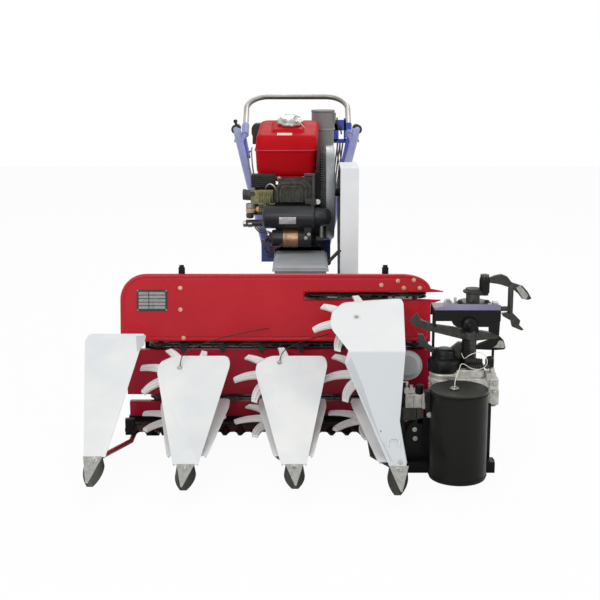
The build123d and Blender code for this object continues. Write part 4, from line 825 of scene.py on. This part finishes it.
# Flywheel rim with its ring gear, and the ribs of the cover over it
FLYWHEEL_AXIS = (1290, 773)
form = bmesh.new()
add_lathe(
    form,
    (
        (150, 12), (168, 11), (178, 12), (179.5, 14), (179.5, 40), (178, 43), (172, 45.5), (150, 46.5),
        (146, 44), (120, 43), (112, 46), (52, 47), (48, 44), (20, 44),
    ),
    upright(place(66, *FLYWHEEL_AXIS), RIGHT), 96,
)
finish_mesh("flywheel_rim", form, RIM_GREY, smooth=30)
# The ring gear is in the dark cast iron so its teeth show a painted shade; the ribs are in the rim's grey
for name, count, x, radius, outline, half, material in (
    ("ring_gear", 120, 64, 173, ((-6, -2.2), (8, -2.2), (8, 2.2), (-6, 2.2)), 6, DARK_IRON),
    ("flywheel_ribs", 18, 112, 82, ((-1, -4), (2.5, -4), (2.5, 4), (-1, 4)), 26, RIM_GREY),
):
    form = bmesh.new()
    for tooth in range(count):
        turn = Matrix.Rotation(math.tau * tooth / count, 4, "X")
        seat = moved(Matrix.Translation(place(x, *FLYWHEEL_AXIS)) @ turn, 0, 0, radius)
        add_prism(form, outline, seat, -half, half)
    made = finish_mesh(name, form, material)
round_edges(made, 0.8)

form = bmesh.new()
strut_start, strut_end = place(81, 1000, 548), place(128, 1000, 597)
strut = strut_end - strut_start
reach = strut.length / MM
add_lathe(form, ((5, 0), (6.5, 1.5), (6.5, reach - 2), (5, reach)), upright(strut_start, strut))
finish_mesh("guard_strut", form, CABLE_SLEEVE)


# Wheels: hub caps
for side, middle, out in (("left", -303, -1), ("right", 257, 1)):
    form = bmesh.new()
    face = upright(place(middle + out * 40, 1130, 205), (out, 0, 0))
    add_lathe(form, ((24, 0), (30, 0), (30, 10), (27, 14), (26, 26), (22, 30), (8, 31)), face, 32)
    finish_mesh(f"hub_cap_{side}", form, DARK_IRON, f"wheel_{side}")

# Binder: black table with its skirt and a lavender sheet over its top that paints the table's sheen, arms,
# casting and springs
# behind, height, rise of the lip where the table is fullest
TABLE_SECTION = (
    (395, 470, 0), (395, 505, 0), (396, 509, 4), (398.5, 509, 11), (402, 509, 14), (405, 509, 12),
    (408, 508.3, 0), (494, 508.3, 0), (495, 506, 0), (495, 470, 0), (491, 470, 0), (491, 503, 0),
    (399, 503, 0), (399, 470, 0),
)
SHEET_SECTION = (
    (394.6, 506, 0), (395.6, 509.6, 4), (398.2, 509.8, 11), (402, 510, 14), (405.4, 510, 12),
    (408.6, 509.4, 0), (493, 509.4, 0), (493, 508, 0), (396, 505, 0),
)


def add_section(form, left, right, section):
    """Adds the table's section from its left to its right end, with a lip that swells between them."""
    add_rings(form, [
        [place(x, behind, z + rise * swell) for behind, z, rise in section]
        for x, swell in ((left, 0.15), (425, 0.45), (460, 1.0), (560, 1.0), (right, 0.85))
    ])


form = bmesh.new()
add_section(form, 407, 620, TABLE_SECTION)
for box in ((407, 415, 428, 438, 300.3, 504), (600, 608, 428, 434, 300.3, 504)):
    add_box(form, *box)
table = round_edges(finish_mesh("table_pressing", form, HUB_BLACK, smooth=40), 0.8)
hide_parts("binder_table")
# A thin lavender sheet over the table's top, painted sheen
form = bmesh.new()
add_section(form, 409, 619, SHEET_SECTION)
finish_mesh("table_top_painted_sheen", form, TABLE_TOP_PAINTED_SHEEN, smooth=40)
make_prisms(
    "table_skirt", HUB_BLACK, 1.2, upright(place(0, 403, 0), TO_CAMERA), 0, 5,
    (
        ((407, 472), (415, 472), (415, 447), (407, 452)),
        ((463, 472), (501, 472), (501, 446), (484, 449), (470, 458)),
        ((497, 472), (549, 472), (552, 431), (496, 431), (501, 460)),
        ((549, 472), (583, 472), (582, 450), (549, 450)),
        ((581, 472), (619, 472), (617, 420), (598, 430), (583, 434)),
    ),
)
for name, material, width, behind, thick, outline in (
    ("discharge_worn_face", WORN_STEEL, 0.5, 442.5, 1.2, (
        (673, 569), (686, 578), (699, 562), (713, 545), (706, 532), (694, 535), (684, 552),
    )),
    ("knotter_arm", HUB_BLACK, 4, 424, 16, (
        (540, 374), (553, 392), (578, 402), (596, 410), (612, 419), (622, 416), (634, 404), (642, 380),
        (638, 373), (610, 371), (580, 372),
    )),
    ("knotter_arm_face", WORN_STEEL, 1.0, 408.4, 2.4, (
        (600, 381), (612, 390), (618, 404), (629, 404), (638, 390), (637, 379),
    )),
):
    make_prisms(name, material, width, upright(place(0, behind, 0), TO_CAMERA), 0, thick, [outline])

form = bmesh.new()
seat = Matrix.Translation(place(500, 390, 0))
for half_x, half_y, corner, low, high in (
    (104, 42, 14, 214, 262), (98, 38, 14, 262, 292), (70, 30, 12, 292, 318),
):
    add_prism(form, rounded_rectangle(half_x, half_y, corner), seat, low, high)
add_box(form, 583, 612, 344, 384, 256, 294)
add_box(form, 583, 614.5, 346, 382, 208, 258)
add_box(form, 572, 604, 346, 396, 286, 312)
add_box(form, 586, 600, 352, 384, 300, 326)
for x in (420, 444, 468):
    add_box(form, x, x + 6, 341, 352, 214, 286)
casting = round_edges(finish_mesh("knotter_casting", form, ALUMINIUM), 3.5, 3)
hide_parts("binder_casting")
form = bmesh.new()
spring = []
for turn in range(8):
    spring += [(9.5, turn * 7), (12, turn * 7 + 1.6), (12, turn * 7 + 4.6), (9.5, turn * 7 + 6.2)]
add_lathe(form, spring, upright(place(508, 384, 344), (1, 0, -0.1)), 24)
add_lathe(form, spring, upright(place(512, 376, 320), (1, 0, 0.12)), 24)
finish_mesh("knotter_springs", form, DARK_IRON)

CAN_BEAD = ((88.6, 0), (90.4, 1.2), (90.4, 3.2), (88.6, 4.4))

# Turned pieces: name, material, foot, direction, (radius, height) profile, and steps round it
TURNED = (
    # Panel and covers
    ("cover_4_washer", WHITE_ENAMEL, (163.2, 426.5, 476.7), cover_normal(31.9), (
        (15, -0.5), (15, 1.0), (12, 2.2), (9, 0.8), (5, 0.6),
    )),
    # Fuel tank
    ("cap_lug", CAP_METAL, (-32, 1336, 1050), (0, -1, 0.15), (
        (12, 0), (14, 1.5), (14, 4), (11.5, 5.5), (8, 4.0), (5, 4.4),
    )),
    # Air cleaner
    ("cleaner_rim", CLEANER_GREY, (72, 1522, 1066.5), UP, (
        (46.4, 0), (47.6, 1), (47.6, 6), (45.5, 7.5), (43.5, 6.5), (42.5, 4.5), (6, 3.5),
    ), 48),
    ("cleaner_band", RIM_GREY, (72, 1522, 996), UP, (
        (46.2, 0), (47.4, 0.8), (47.4, 6.2), (46.2, 7),
    ), 48),
    # Engine
    ("pump_head_hole", BROWN_CASTING, (-197, 1168.5, 781), TO_CAMERA, (
        (9.5, 0), (9.5, 2), (7.5, 2.6), (5, 0.6),
    )),
    ("pump_cap", ENGINE_IRON, (-222, 1205, 774), LEFT, (
        (15, 0), (19.5, 0), (20.5, 2), (20.5, 12), (19, 14), (8, 15),
    )),
    ("filter_bowl", BOWL_CREAM, (-206, 1174, 708), UP, (
        (13, 0), (16, 2), (17.5, 8), (17.5, 17), (14, 19),
    )),
    ("filter_head", WORN_STEEL, (-206, 1174, 727), UP, ((15, 0), (17, 1), (17, 16), (14, 18))),
    ("filter_drain", BROWN_CASTING, (-208, 1174, 688), UP, ((9, 0), (14, 3), (15, 18), (11, 20))),
    ("banjo_sleeve", STEEL_BOLT, (-236, 1188, 665), RIGHT, (
        (6, 0), (9, 1), (12.5, 3), (12.5, 14), (11, 15), (11, 18), (13.8, 19), (13.8, 34), (11.5, 36),
        (11.5, 48), (9, 50),
    )),
    ("starter_nose_end", STARTER_BLACK, (-146, 1084, 705), LEFT, (
        (42, 0), (42, 2), (39, 7), (31, 11), (16, 12.5), (4, 13),
    )),
    ("starter_drive", STARTER_BLACK, (33, 1084, 706), RIGHT, (
        (33, 0), (34, 4), (33, 40), (29, 52), (20, 60), (6, 63),
    )),
    ("solenoid_band", COPPER, (-82, 1084, 626), RIGHT, (
        (32.3, 0), (33.4, 0.8), (33.4, 12), (32.9, 13), (33.4, 14), (33.4, 55), (32.3, 56),
    ), 48),
    ("solenoid_end", DARK_IRON, (-118, 1084, 626), LEFT, (
        (32, 0), (31, 3), (26, 6), (18, 7), (16, 16), (12, 17),
    )),
    ("ground_stud", WORN_STEEL, (61, 1098, 627), UP, ((5, 0), (7, 1), (7, 50), (5.5, 52))),
    # Battery and belt guard
    ("strut_pivot", CABLE_SLEEVE, (84, 1006, 550), TO_CAMERA, (
        (9, 0), (10.5, 1.5), (10.5, 10), (9, 12),
    )),
    # Handles
    ("control_pivot", DARK_IRON, (150, 1898, 979), TO_CAMERA, ((5, 0), (9, 1), (9, 6), (6, 8))),
    ("left_knob", GRIP_RUBBER, (-303, 2010, 984), (-0.2, 0, 1), (
        (4, 0), (5.5, 2), (6, 9), (9, 12), (9, 18), (6, 22), (2, 23),
    )),
    # Binder table
    ("skirt_knob", HUB_BLACK, (521, 398, 460), TO_CAMERA, (
        (20, 0), (24, 3), (25, 12), (22, 18), (12, 22), (10, 30), (6, 32),
    )),
    ("hub_cap", DARK_IRON, (537, 450, 552), UP, (
        (30, 0), (32, 1.5), (32, 7), (26, 9), (24, 14), (10, 15),
    )),
    ("arm_head", HUB_BLACK, (573, 450, 550), UP, (
        (14.5, 0), (16.5, 2), (17, 40), (16, 50), (12, 58), (5, 62),
    )),
    # Binder casting, clamp and can
    ("casting_boss", ALUMINIUM, (440, 388, 272), UP, (
        (40, 0), (45, 2), (47, 8), (47, 14), (44, 17), (41, 19), (41, 25), (44, 27), (45, 32), (42, 35),
        (30, 37),
    ), 48),
    ("cam_housing", HUB_BLACK, (444, 400, 306), UP, (
        (40, 0), (49, 2), (53, 6), (54, 12), (54, 34), (51, 40), (44, 44), (36, 48), (34, 54), (34, 66),
        (30, 72), (20, 76),
    ), 48),
    ("knotter_shaft", HUB_BLACK, (512, 400, 312), UP, (
        (15, 0), (16, 2), (16, 60), (13, 62), (13, 96), (10, 98),
    )),
    ("right_boss", HUB_BLACK, (586, 378, 322), UP, (
        (12, 0), (14, 2), (14, 28), (12, 32), (10, 36), (4, 38),
    )),
    ("boss_stub", DARK_IRON, (574, 368, 330), (0, -1, 0.2), ((6, 0), (8, 2), (8, 24), (6, 26))),
    ("clamp_pin", HUB_BLACK, (360, 330, 248), UP, (
        (9, 0), (12, 2), (12, 20), (14, 22), (14, 29), (10, 32), (4, 33),
    )),
    ("clamp_nut", STEEL_BOLT, (334, 330, 264), UP, ((10, 0), (10, 6), (7, 8), (7, 15)), 6),
    ("lid_eyelet", WORN_STEEL, (451, 185, 310.8), UP, (
        (7.5, 0), (9, 2.2), (11.5, 3), (13.5, 1.6), (14, 0),
    )),
    ("can_bead_top", CAN_BLACK, (468, 200, 292), UP, CAN_BEAD, 72),
    ("can_bead_low", CAN_BLACK, (468, 200, 32), UP, CAN_BEAD, 72),
    # A black disc inside the eyelet: painted shade of its opening
    ("lid_eyelet_hole", HUB_BLACK, (451, 185, 310.8), UP, ((7.4, 0), (7.4, 1.2))),
)
for row in TURNED:
    make_lathe(*row)

# Pieces of blocks: name, material, width of the rounding and the blocks
BLOCKS = (
    # Panel and covers
    # A black block in the cover's slit: painted shade of the opening
    ("cover_4_slit", STARTER_BLACK, 0.3, ((226, 228.5, 149, 153, 176, 188),)),
    # Dark channels behind the chains
    ("chain_channels", BLACK_ENAMEL, 0.5, (
        (-560, 430, 753, 756, 270, 350), (-535, 430, 753, 756, 80, 150),
    )),
    ("top_chain_channel", HUB_BLACK, 0.8, (
        (-2, 417, 664, 768, 509.5, 512), (-2, 417, 766, 769, 470, 512),
    )),
    ("chain_end_box", HUB_BLACK, 0.8, (
        (318, 424, 656, 756, 316, 318.5), (318, 430, 753, 756, 268, 352),
    )),
    # Fuel tank
    ("tank_strap", TANK_RED_ENAMEL, 2.0, ((-121, 2, 1254, 1266, 822, 837),)),
    # Air cleaner
    ("cleaner_clip", CLEANER_GREY, 2.0, (
        (113, 123, 1500, 1520, 1030, 1064), (110, 120, 1503, 1517, 1018, 1034),
    )),
    # Engine
    ("starter_bracket", ENGINE_IRON, 1.5, (
        (25, 37, 1122, 1134, 676, 862), (20, 42, 1120, 1136, 742, 768), (-4, 30, 1124, 1136, 852, 862),
    )),
    ("engine_side_block", DARK_IRON, 2.0, ((-188, -104, 1222, 1262, 766, 806),)),
    ("bracket_feet", ENGINE_IRON, 1.5, ((0, 60, 1128, 1160, 746, 766),)),
    ("engine_rear_plate", HUB_BLACK, 1.5, (
        (36, 66, 1150, 1162, 590, 866), (-112, 60, 1158, 1164, 600, 760),
    )),
    ("stud_bracket", ENGINE_IRON, 1.5, ((40, 70, 1092, 1150, 616, 630),)),
    # Battery and belt guard
    ("battery_terminal", CABLE_SLEEVE, 3.0, (
        (-142, -116, 1068, 1096, 554, 572), (-132, -120, 1066, 1090, 568, 600),
    )),
    ("battery_lid_lip", BOX_GREY, 1.0, (
        (-116, 82, 813, 817, 551, 556), (-116, -113.5, 815, 1148, 551, 556),
        (79.5, 82, 815, 1148, 551, 556),
    )),
    ("strut_ear", CABLE_SLEEVE, 1.5, ((76, 92, 1004, 1030, 540, 556),)),
    # Handles
    ("control_bracket", BLUE_ENAMEL, 1.2, (
        (124, 146, 1898, 1904, 918, 1000), (168, 178, 1898, 1904, 922, 1019),
        (126, 178, 1898, 1904, 966, 1012), (124, 182, 1898, 1904, 912, 930),
        (170, 200, 1899, 1905, 940, 1000),
    )),
    # Binder table
    ("table_lumps", ALUMINIUM, 2.5, (
        (447, 472, 455, 480, 508, 522), (452, 466, 452, 470, 520, 529), (476, 484, 440, 452, 508, 538),
    )),
    ("table_right_casting", ALUMINIUM, 3.0, (
        (600, 618, 430, 462, 506, 523), (604, 624, 436, 456, 494, 512),
    )),
    # Binder casting, clamp and can
    ("left_clamp", ALUMINIUM, 2.5, (
        (316, 376, 318, 346, 206, 251), (322, 341, 314, 320, 208, 249), (345, 366, 314, 320, 208, 249),
        (369, 379, 316, 346, 203, 254), (312, 346, 324, 346, 251, 268),
    )),
    ("clamp_link", DARK_IRON, 3, ((370, 412, 336, 380, 214, 250),)),
    ("clamp_foot", BROWN_CASTING, 2.5, (
        (308, 353, 328, 346, 162, 206), (353, 374, 326, 340, 150, 206),
    )),
    ("side_plate", HUB_BLACK, 1.0, ((298, 318, 340, 346, 36, 282), (316, 326, 330, 346, 36, 110))),
    ("can_strap", HUB_BLACK, 2.0, (
        (366, 380, 190, 212, 236, 297), (362, 372, 186, 198, 262, 292), (374, 388, 200, 330, 252, 262),
    )),
    ("can_strap_tail", HUB_BLACK, 2.0, ((370, 384, 187, 205, 216, 240),)),
)
for row in BLOCKS:
    make_boxes(*row)

# Wires, pipes and cables: name, material, radius and points
WIRES = (
    # Panel and covers
    ("cover_4_clip", WHITE_ENAMEL, 2.0, (
        (249, 119, 149.5), (247, 126, 158), (254, 133, 168), (262, 135, 172), (266, 133, 167),
        (270, 135, 172), (278, 133, 168), (284, 126, 158), (282, 119, 149.5),
    )),
    ("crop_spring_3", CHAIN_STEEL, 1.6, (
        (-84, 444, 322), (-82, 448, 338), (-72, 470, 353), (-50, 498, 362), (-10, 545, 368), (80, 622, 373),
    )),
    # Fuel tank
    ("cap_chain", CAP_METAL, 1.8, (
        (-30, 1332, 1042), (-18, 1322, 1034), (-8, 1318, 1025), (-2, 1322, 1016),
    )),
    # Engine
    ("fuel_pipe", BROWN_CASTING, 5, (
        (-168, 1170, 735), (-158, 1150, 720), (-150, 1146, 690), (-142, 1152, 662), (-128, 1166, 655),
    )),
    ("injection_line", STEEL_BOLT, 3.2, (
        (-150, 1190, 792), (-146, 1176, 812), (-128, 1168, 820), (-112, 1166, 806), (-106, 1168, 792),
    )),
    # Handles
    ("control_lever", CABLE_SLEEVE, 3.4, (
        (139, 1896, 1022), (138, 1894, 1000), (144, 1894, 985), (156, 1896, 972), (158, 1898, 950),
    )),
    # Electric wires and control cables
    ("wire_starter", WIRE_MAROON, 2.6, (
        (-134, 1084, 630), (-150, 1074, 622), (-152, 1066, 600), (-132, 1062, 588), (-104, 1058, 592),
        (-84, 1056, 604),
    )),
    ("wire_ignition", WIRE_MAROON, 2.2, (
        (-130, 1080, 634), (-146, 1066, 640), (-150, 1058, 616), (-120, 1052, 596), (-92, 1050, 600),
        (-82, 1052, 614),
    )),
    ("wire_pump", WIRE_MAROON, 2.2, (
        (-186, 1172, 662), (-180, 1150, 650), (-160, 1136, 646), (-138, 1120, 648), (-120, 1100, 640),
    )),
    ("wire_ground", CABLE_SLEEVE, 2.4, (
        (-190, 1172, 656), (-178, 1140, 640), (-150, 1120, 640), (-126, 1104, 642), (-96, 1116, 646),
    )),
    ("battery_cable", CABLE_SLEEVE, 4.5, (
        (-134, 1090, 622), (-158, 1086, 612), (-150, 1080, 588), (-140, 1078, 572), (-128, 1080, 566),
    )),
    ("throttle_cable", CABLE_SLEEVE, 3.0, (
        (-238, 1900, 876), (-242, 1840, 872), (-236, 1700, 862), (-222, 1500, 838), (-208, 1330, 806),
        (-190, 1240, 790),
    )),
    ("stop_cable", BROWN_CASTING, 3.0, (
        (-229, 1900, 892), (-226, 1760, 896), (-216, 1560, 880), (-206, 1400, 858), (-196, 1300, 824),
        (-180, 1240, 800),
    )),
    ("clutch_cable", CABLE_SLEEVE, 3.2, (
        (-284, 1955, 952), (-270, 1930, 905), (-256, 1915, 884), (-240, 1900, 874), (-229, 1850, 880),
    )),
    ("gear_cable", CABLE_SLEEVE, 3.0, (
        (142, 1870, 925), (136, 1820, 900), (140, 1760, 858), (150, 1700, 812), (146, 1600, 760),
    )),
    ("speed_cable", BROWN_CASTING, 2.8, (
        (152, 1880, 915), (150, 1830, 880), (156, 1780, 838), (158, 1700, 795), (150, 1600, 740),
    )),
    ("guard_rod", CABLE_SLEEVE, 2.8, (
        (122, 1001, 780), (122.5, 1001, 690), (123.5, 1001, 600), (124, 1001, 512),
    )),
)
for row in WIRES:
    make_wire(*row)

# Bolts and screws: name, material, millimetres across the flats, and their points by direction
BOLTS = (
    # Panel and covers
    ("panel_bolts", ZINC, 7.5, {PANEL_OUT: [on_panel(x, z) for x, z in (
        (-423, 524), (-423, 451.5), (-413, 356), (257, 534), (313, 548), (367, 551), (333, 524), (387, 524),
    )]}),
    ("cover_bolts", STEEL_BOLT, 8, {
        cover_normal(31.9): ((163.2, 426.5, 476.7),), cover_normal(55): ((283, 96, 107),),
    }),
    ("spring_bolt_2", STEEL_BOLT, 9, {cover_normal(31.6): ((-406, 424, 308.9),)}),
    ("spring_bolt_3", STEEL_BOLT, 9, {cover_normal(31.6): ((-84, 444, 321.2),)}),
    # Fuel tank and engine
    ("tank_bolts", STEEL_BOLT, 9, {TO_CAMERA: ((-99, 1254, 829), (-8, 1254, 829))}),
    ("rocker_bolts", DARK_IRON, 9, {TO_CAMERA: (
        (-100, 1148, 762), (-101, 1148, 806), (-2, 1148, 806), (-3, 1148, 762), (-51, 1148, 821),
    )}),
    ("pump_bolts", ZINC, 11, {TO_CAMERA: (
        (-150, 1178, 735), (-176, 1175, 722), (-140, 1176, 690), (-142, 1176, 664),
    )}),
    ("solenoid_screws", STEEL_BOLT, 7, {TO_CAMERA: ((13, 1053, 645), (2, 1051.5, 632))}),
    ("bracket_bolts", CHROME, 10, {TO_CAMERA: ((47, 1124, 757),)}),
    # Binder
    ("hub_bolts", DARK_IRON, 13, {UP: ((493, 432, 523), (537, 420, 524), (580, 434, 523))}),
    ("casting_bolts", STEEL_BOLT, 11, {
        UP: ((468, 350, 292), (455, 341, 296)), DOWN: ((600, 360, 206),),
        TO_CAMERA: ((478, 346, 276), (598, 345, 250), (598, 344, 280)),
    }),
    ("plate_bolts", STEEL_BOLT, 8, {TO_CAMERA: ((346.7, 326, 133.4), (348.8, 326, 103.3))}),
    ("post_bolts", DARK_IRON, 11, {
        RIGHT: ((590, 385, 152), (590, 385, 97), (596, 320, 30), (590, 400, 40)),
    }),
    ("can_strap_bolt", WORN_STEEL, 9, {TO_CAMERA: ((377, 186, 226),)}),
)
for name, material, across, groups in BOLTS:
    form = bmesh.new()
    for direction, points in groups.items():
        for point in points:
            add_hexagon_bolt(form, upright(place(*point), direction), across)
    finish_mesh(name, form, material)

# Twine, from the eyelet of the lid up through the guide in a loose loop
TWINE_ROUTE = (
    (451, 185, 302), (451, 185, 326), (459, 206, 344), (471, 235, 356), (480, 268, 366),
    (497, 292, 356), (518, 303, 338), (550, 304, 336), (569, 300, 356), (560, 297, 385),
    (538, 298, 396), (510, 302, 384), (499, 318, 368), (498, 350, 360), (498, 401.7, 366),
)
TWINE_RADIUS = 1.25


def spline_length(curve_object):
    """The length in metres of the one spline of a curve object."""
    line = curve_object.data.copy()
    line.bevel_depth = 0
    line.resolution_u = 24
    bare = bpy.data.objects.new("line", line)
    mesh = bpy.data.meshes.new_from_object(bare)
    total = sum(
        (mesh.vertices[e.vertices[0]].co - mesh.vertices[e.vertices[1]].co).length for e in mesh.edges
    )
    bpy.data.objects.remove(bare)
    bpy.data.meshes.remove(mesh)
    return total


twine = make_wire("twine_strand", TWINE_FIBRE, TWINE_RADIUS, TWINE_ROUTE)
spline_length(twine)
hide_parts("twine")

# Camera at the photograph's place, lens and tilt
CAMERA_FRONT = 3285.0
CAMERA_X = -8.0
CAMERA_Z = 1328.0
CAMERA_TILT = 12.1
LENS = 71.4
camera_data = bpy.data.cameras.new("camera")
camera_data.lens = LENS
camera_data.sensor_width = 36.0
camera_data.shift_x = -0.005
camera_data.clip_end = 100
camera = add_object("camera", camera_data)
camera.location = place(CAMERA_X, -CAMERA_FRONT, CAMERA_Z)
camera.rotation_euler = (math.radians(90 - CAMERA_TILT), 0, 0)
bpy.context.scene.camera = camera


# Pale floor and surroundings, and plain soft lights
def make_floor():
    """A pale floor: white to the camera with a weak shadow, and a plain diffuse floor to the light."""
    material, tree, shader = start_material("pale_floor")
    shader.inputs["Base Color"].default_value = linear("#F4F4F4")
    shader.inputs["Roughness"].default_value = 0.95
    shader.inputs["Specular IOR Level"].default_value = 0.0
    glow = add_node(tree, "ShaderNodeEmission", {"Color": (1, 1, 1, 1), "Strength": 1.0})
    path = add_node(tree, "ShaderNodeLightPath")
    share = add_node(
        tree, "ShaderNodeMath", {0: path.outputs["Is Camera Ray"], 1: FLOOR_WHITE}, operation="MULTIPLY",
    )
    both = add_node(
        tree, "ShaderNodeMixShader",
        {0: share.outputs["Value"], 1: shader.outputs["BSDF"], 2: glow.outputs["Emission"]},
    )
    output = next(node for node in tree.nodes if node.type == "OUTPUT_MATERIAL")
    tree.links.new(both.outputs["Shader"], output.inputs["Surface"])
    mesh = bpy.data.meshes.new("floor")
    corners = [(x * FLOOR_REACH, y * FLOOR_REACH, 0) for x, y in ((-1, -1), (1, -1), (1, 1), (-1, 1))]
    mesh.from_pydata(corners, [], [(0, 1, 2, 3)])
    mesh.materials.append(material)
    add_object("floor", mesh)


def make_light(name, location, target, size, power):
    """A square soft light that faces a target, with places in metres."""
    data = bpy.data.lights.new(name, "AREA")
    data.shape = "SQUARE"
    data.size = size
    data.energy = power
    light = add_object(name, data)
    light.location = location
    aim = Vector(target) - Vector(location)
    light.rotation_euler = aim.to_track_quat("-Z", "Y").to_euler()


def make_world():
    """Even surroundings, white to the camera and in reflections, softer as light."""
    world = bpy.data.worlds.new("surroundings")
    world.use_nodes = True
    tree = world.node_tree
    tree.nodes.clear()
    path = add_node(tree, "ShaderNodeLightPath")
    mirrored = add_node(
        tree, "ShaderNodeMath",
        {0: path.outputs["Is Glossy Ray"], 1: path.outputs["Is Transmission Ray"]}, operation="MAXIMUM",
    )
    seen = add_node(
        tree, "ShaderNodeMath",
        {0: path.outputs["Is Camera Ray"], 1: mirrored.outputs["Value"]}, operation="MAXIMUM",
    )
    strength = add_node(
        tree, "ShaderNodeMapRange", {"Value": seen.outputs["Value"], "To Min": SKY_LIGHT, "To Max": 1.0},
    )
    sky = add_node(
        tree, "ShaderNodeBackground", {"Color": (1, 1, 1, 1), "Strength": strength.outputs["Result"]},
    )
    add_node(tree, "ShaderNodeOutputWorld", {"Surface": sky.outputs["Background"]})
    bpy.context.scene.world = world


FLOOR_REACH = 9.0
FLOOR_WHITE = 0.95
SKY_LIGHT = 0.5
make_floor()
make_light("front_soft", (-1.8, -5.6, 3.2), (0, -0.2, 0.6), 3.0, 104)
make_light("top_soft", (-0.4, -2.0, 4.4), (0, -0.6, 0.3), 2.4, 34)
make_light("right_soft", (3.8, -2.4, 2.4), (0, 0, 0.5), 1.8, 32)
make_light("back_soft", (0.6, 3.6, 4.2), (0, 0.3, 0.6), 2.4, 60)
make_world()
bpy.context.scene.view_settings.view_transform = "Standard"
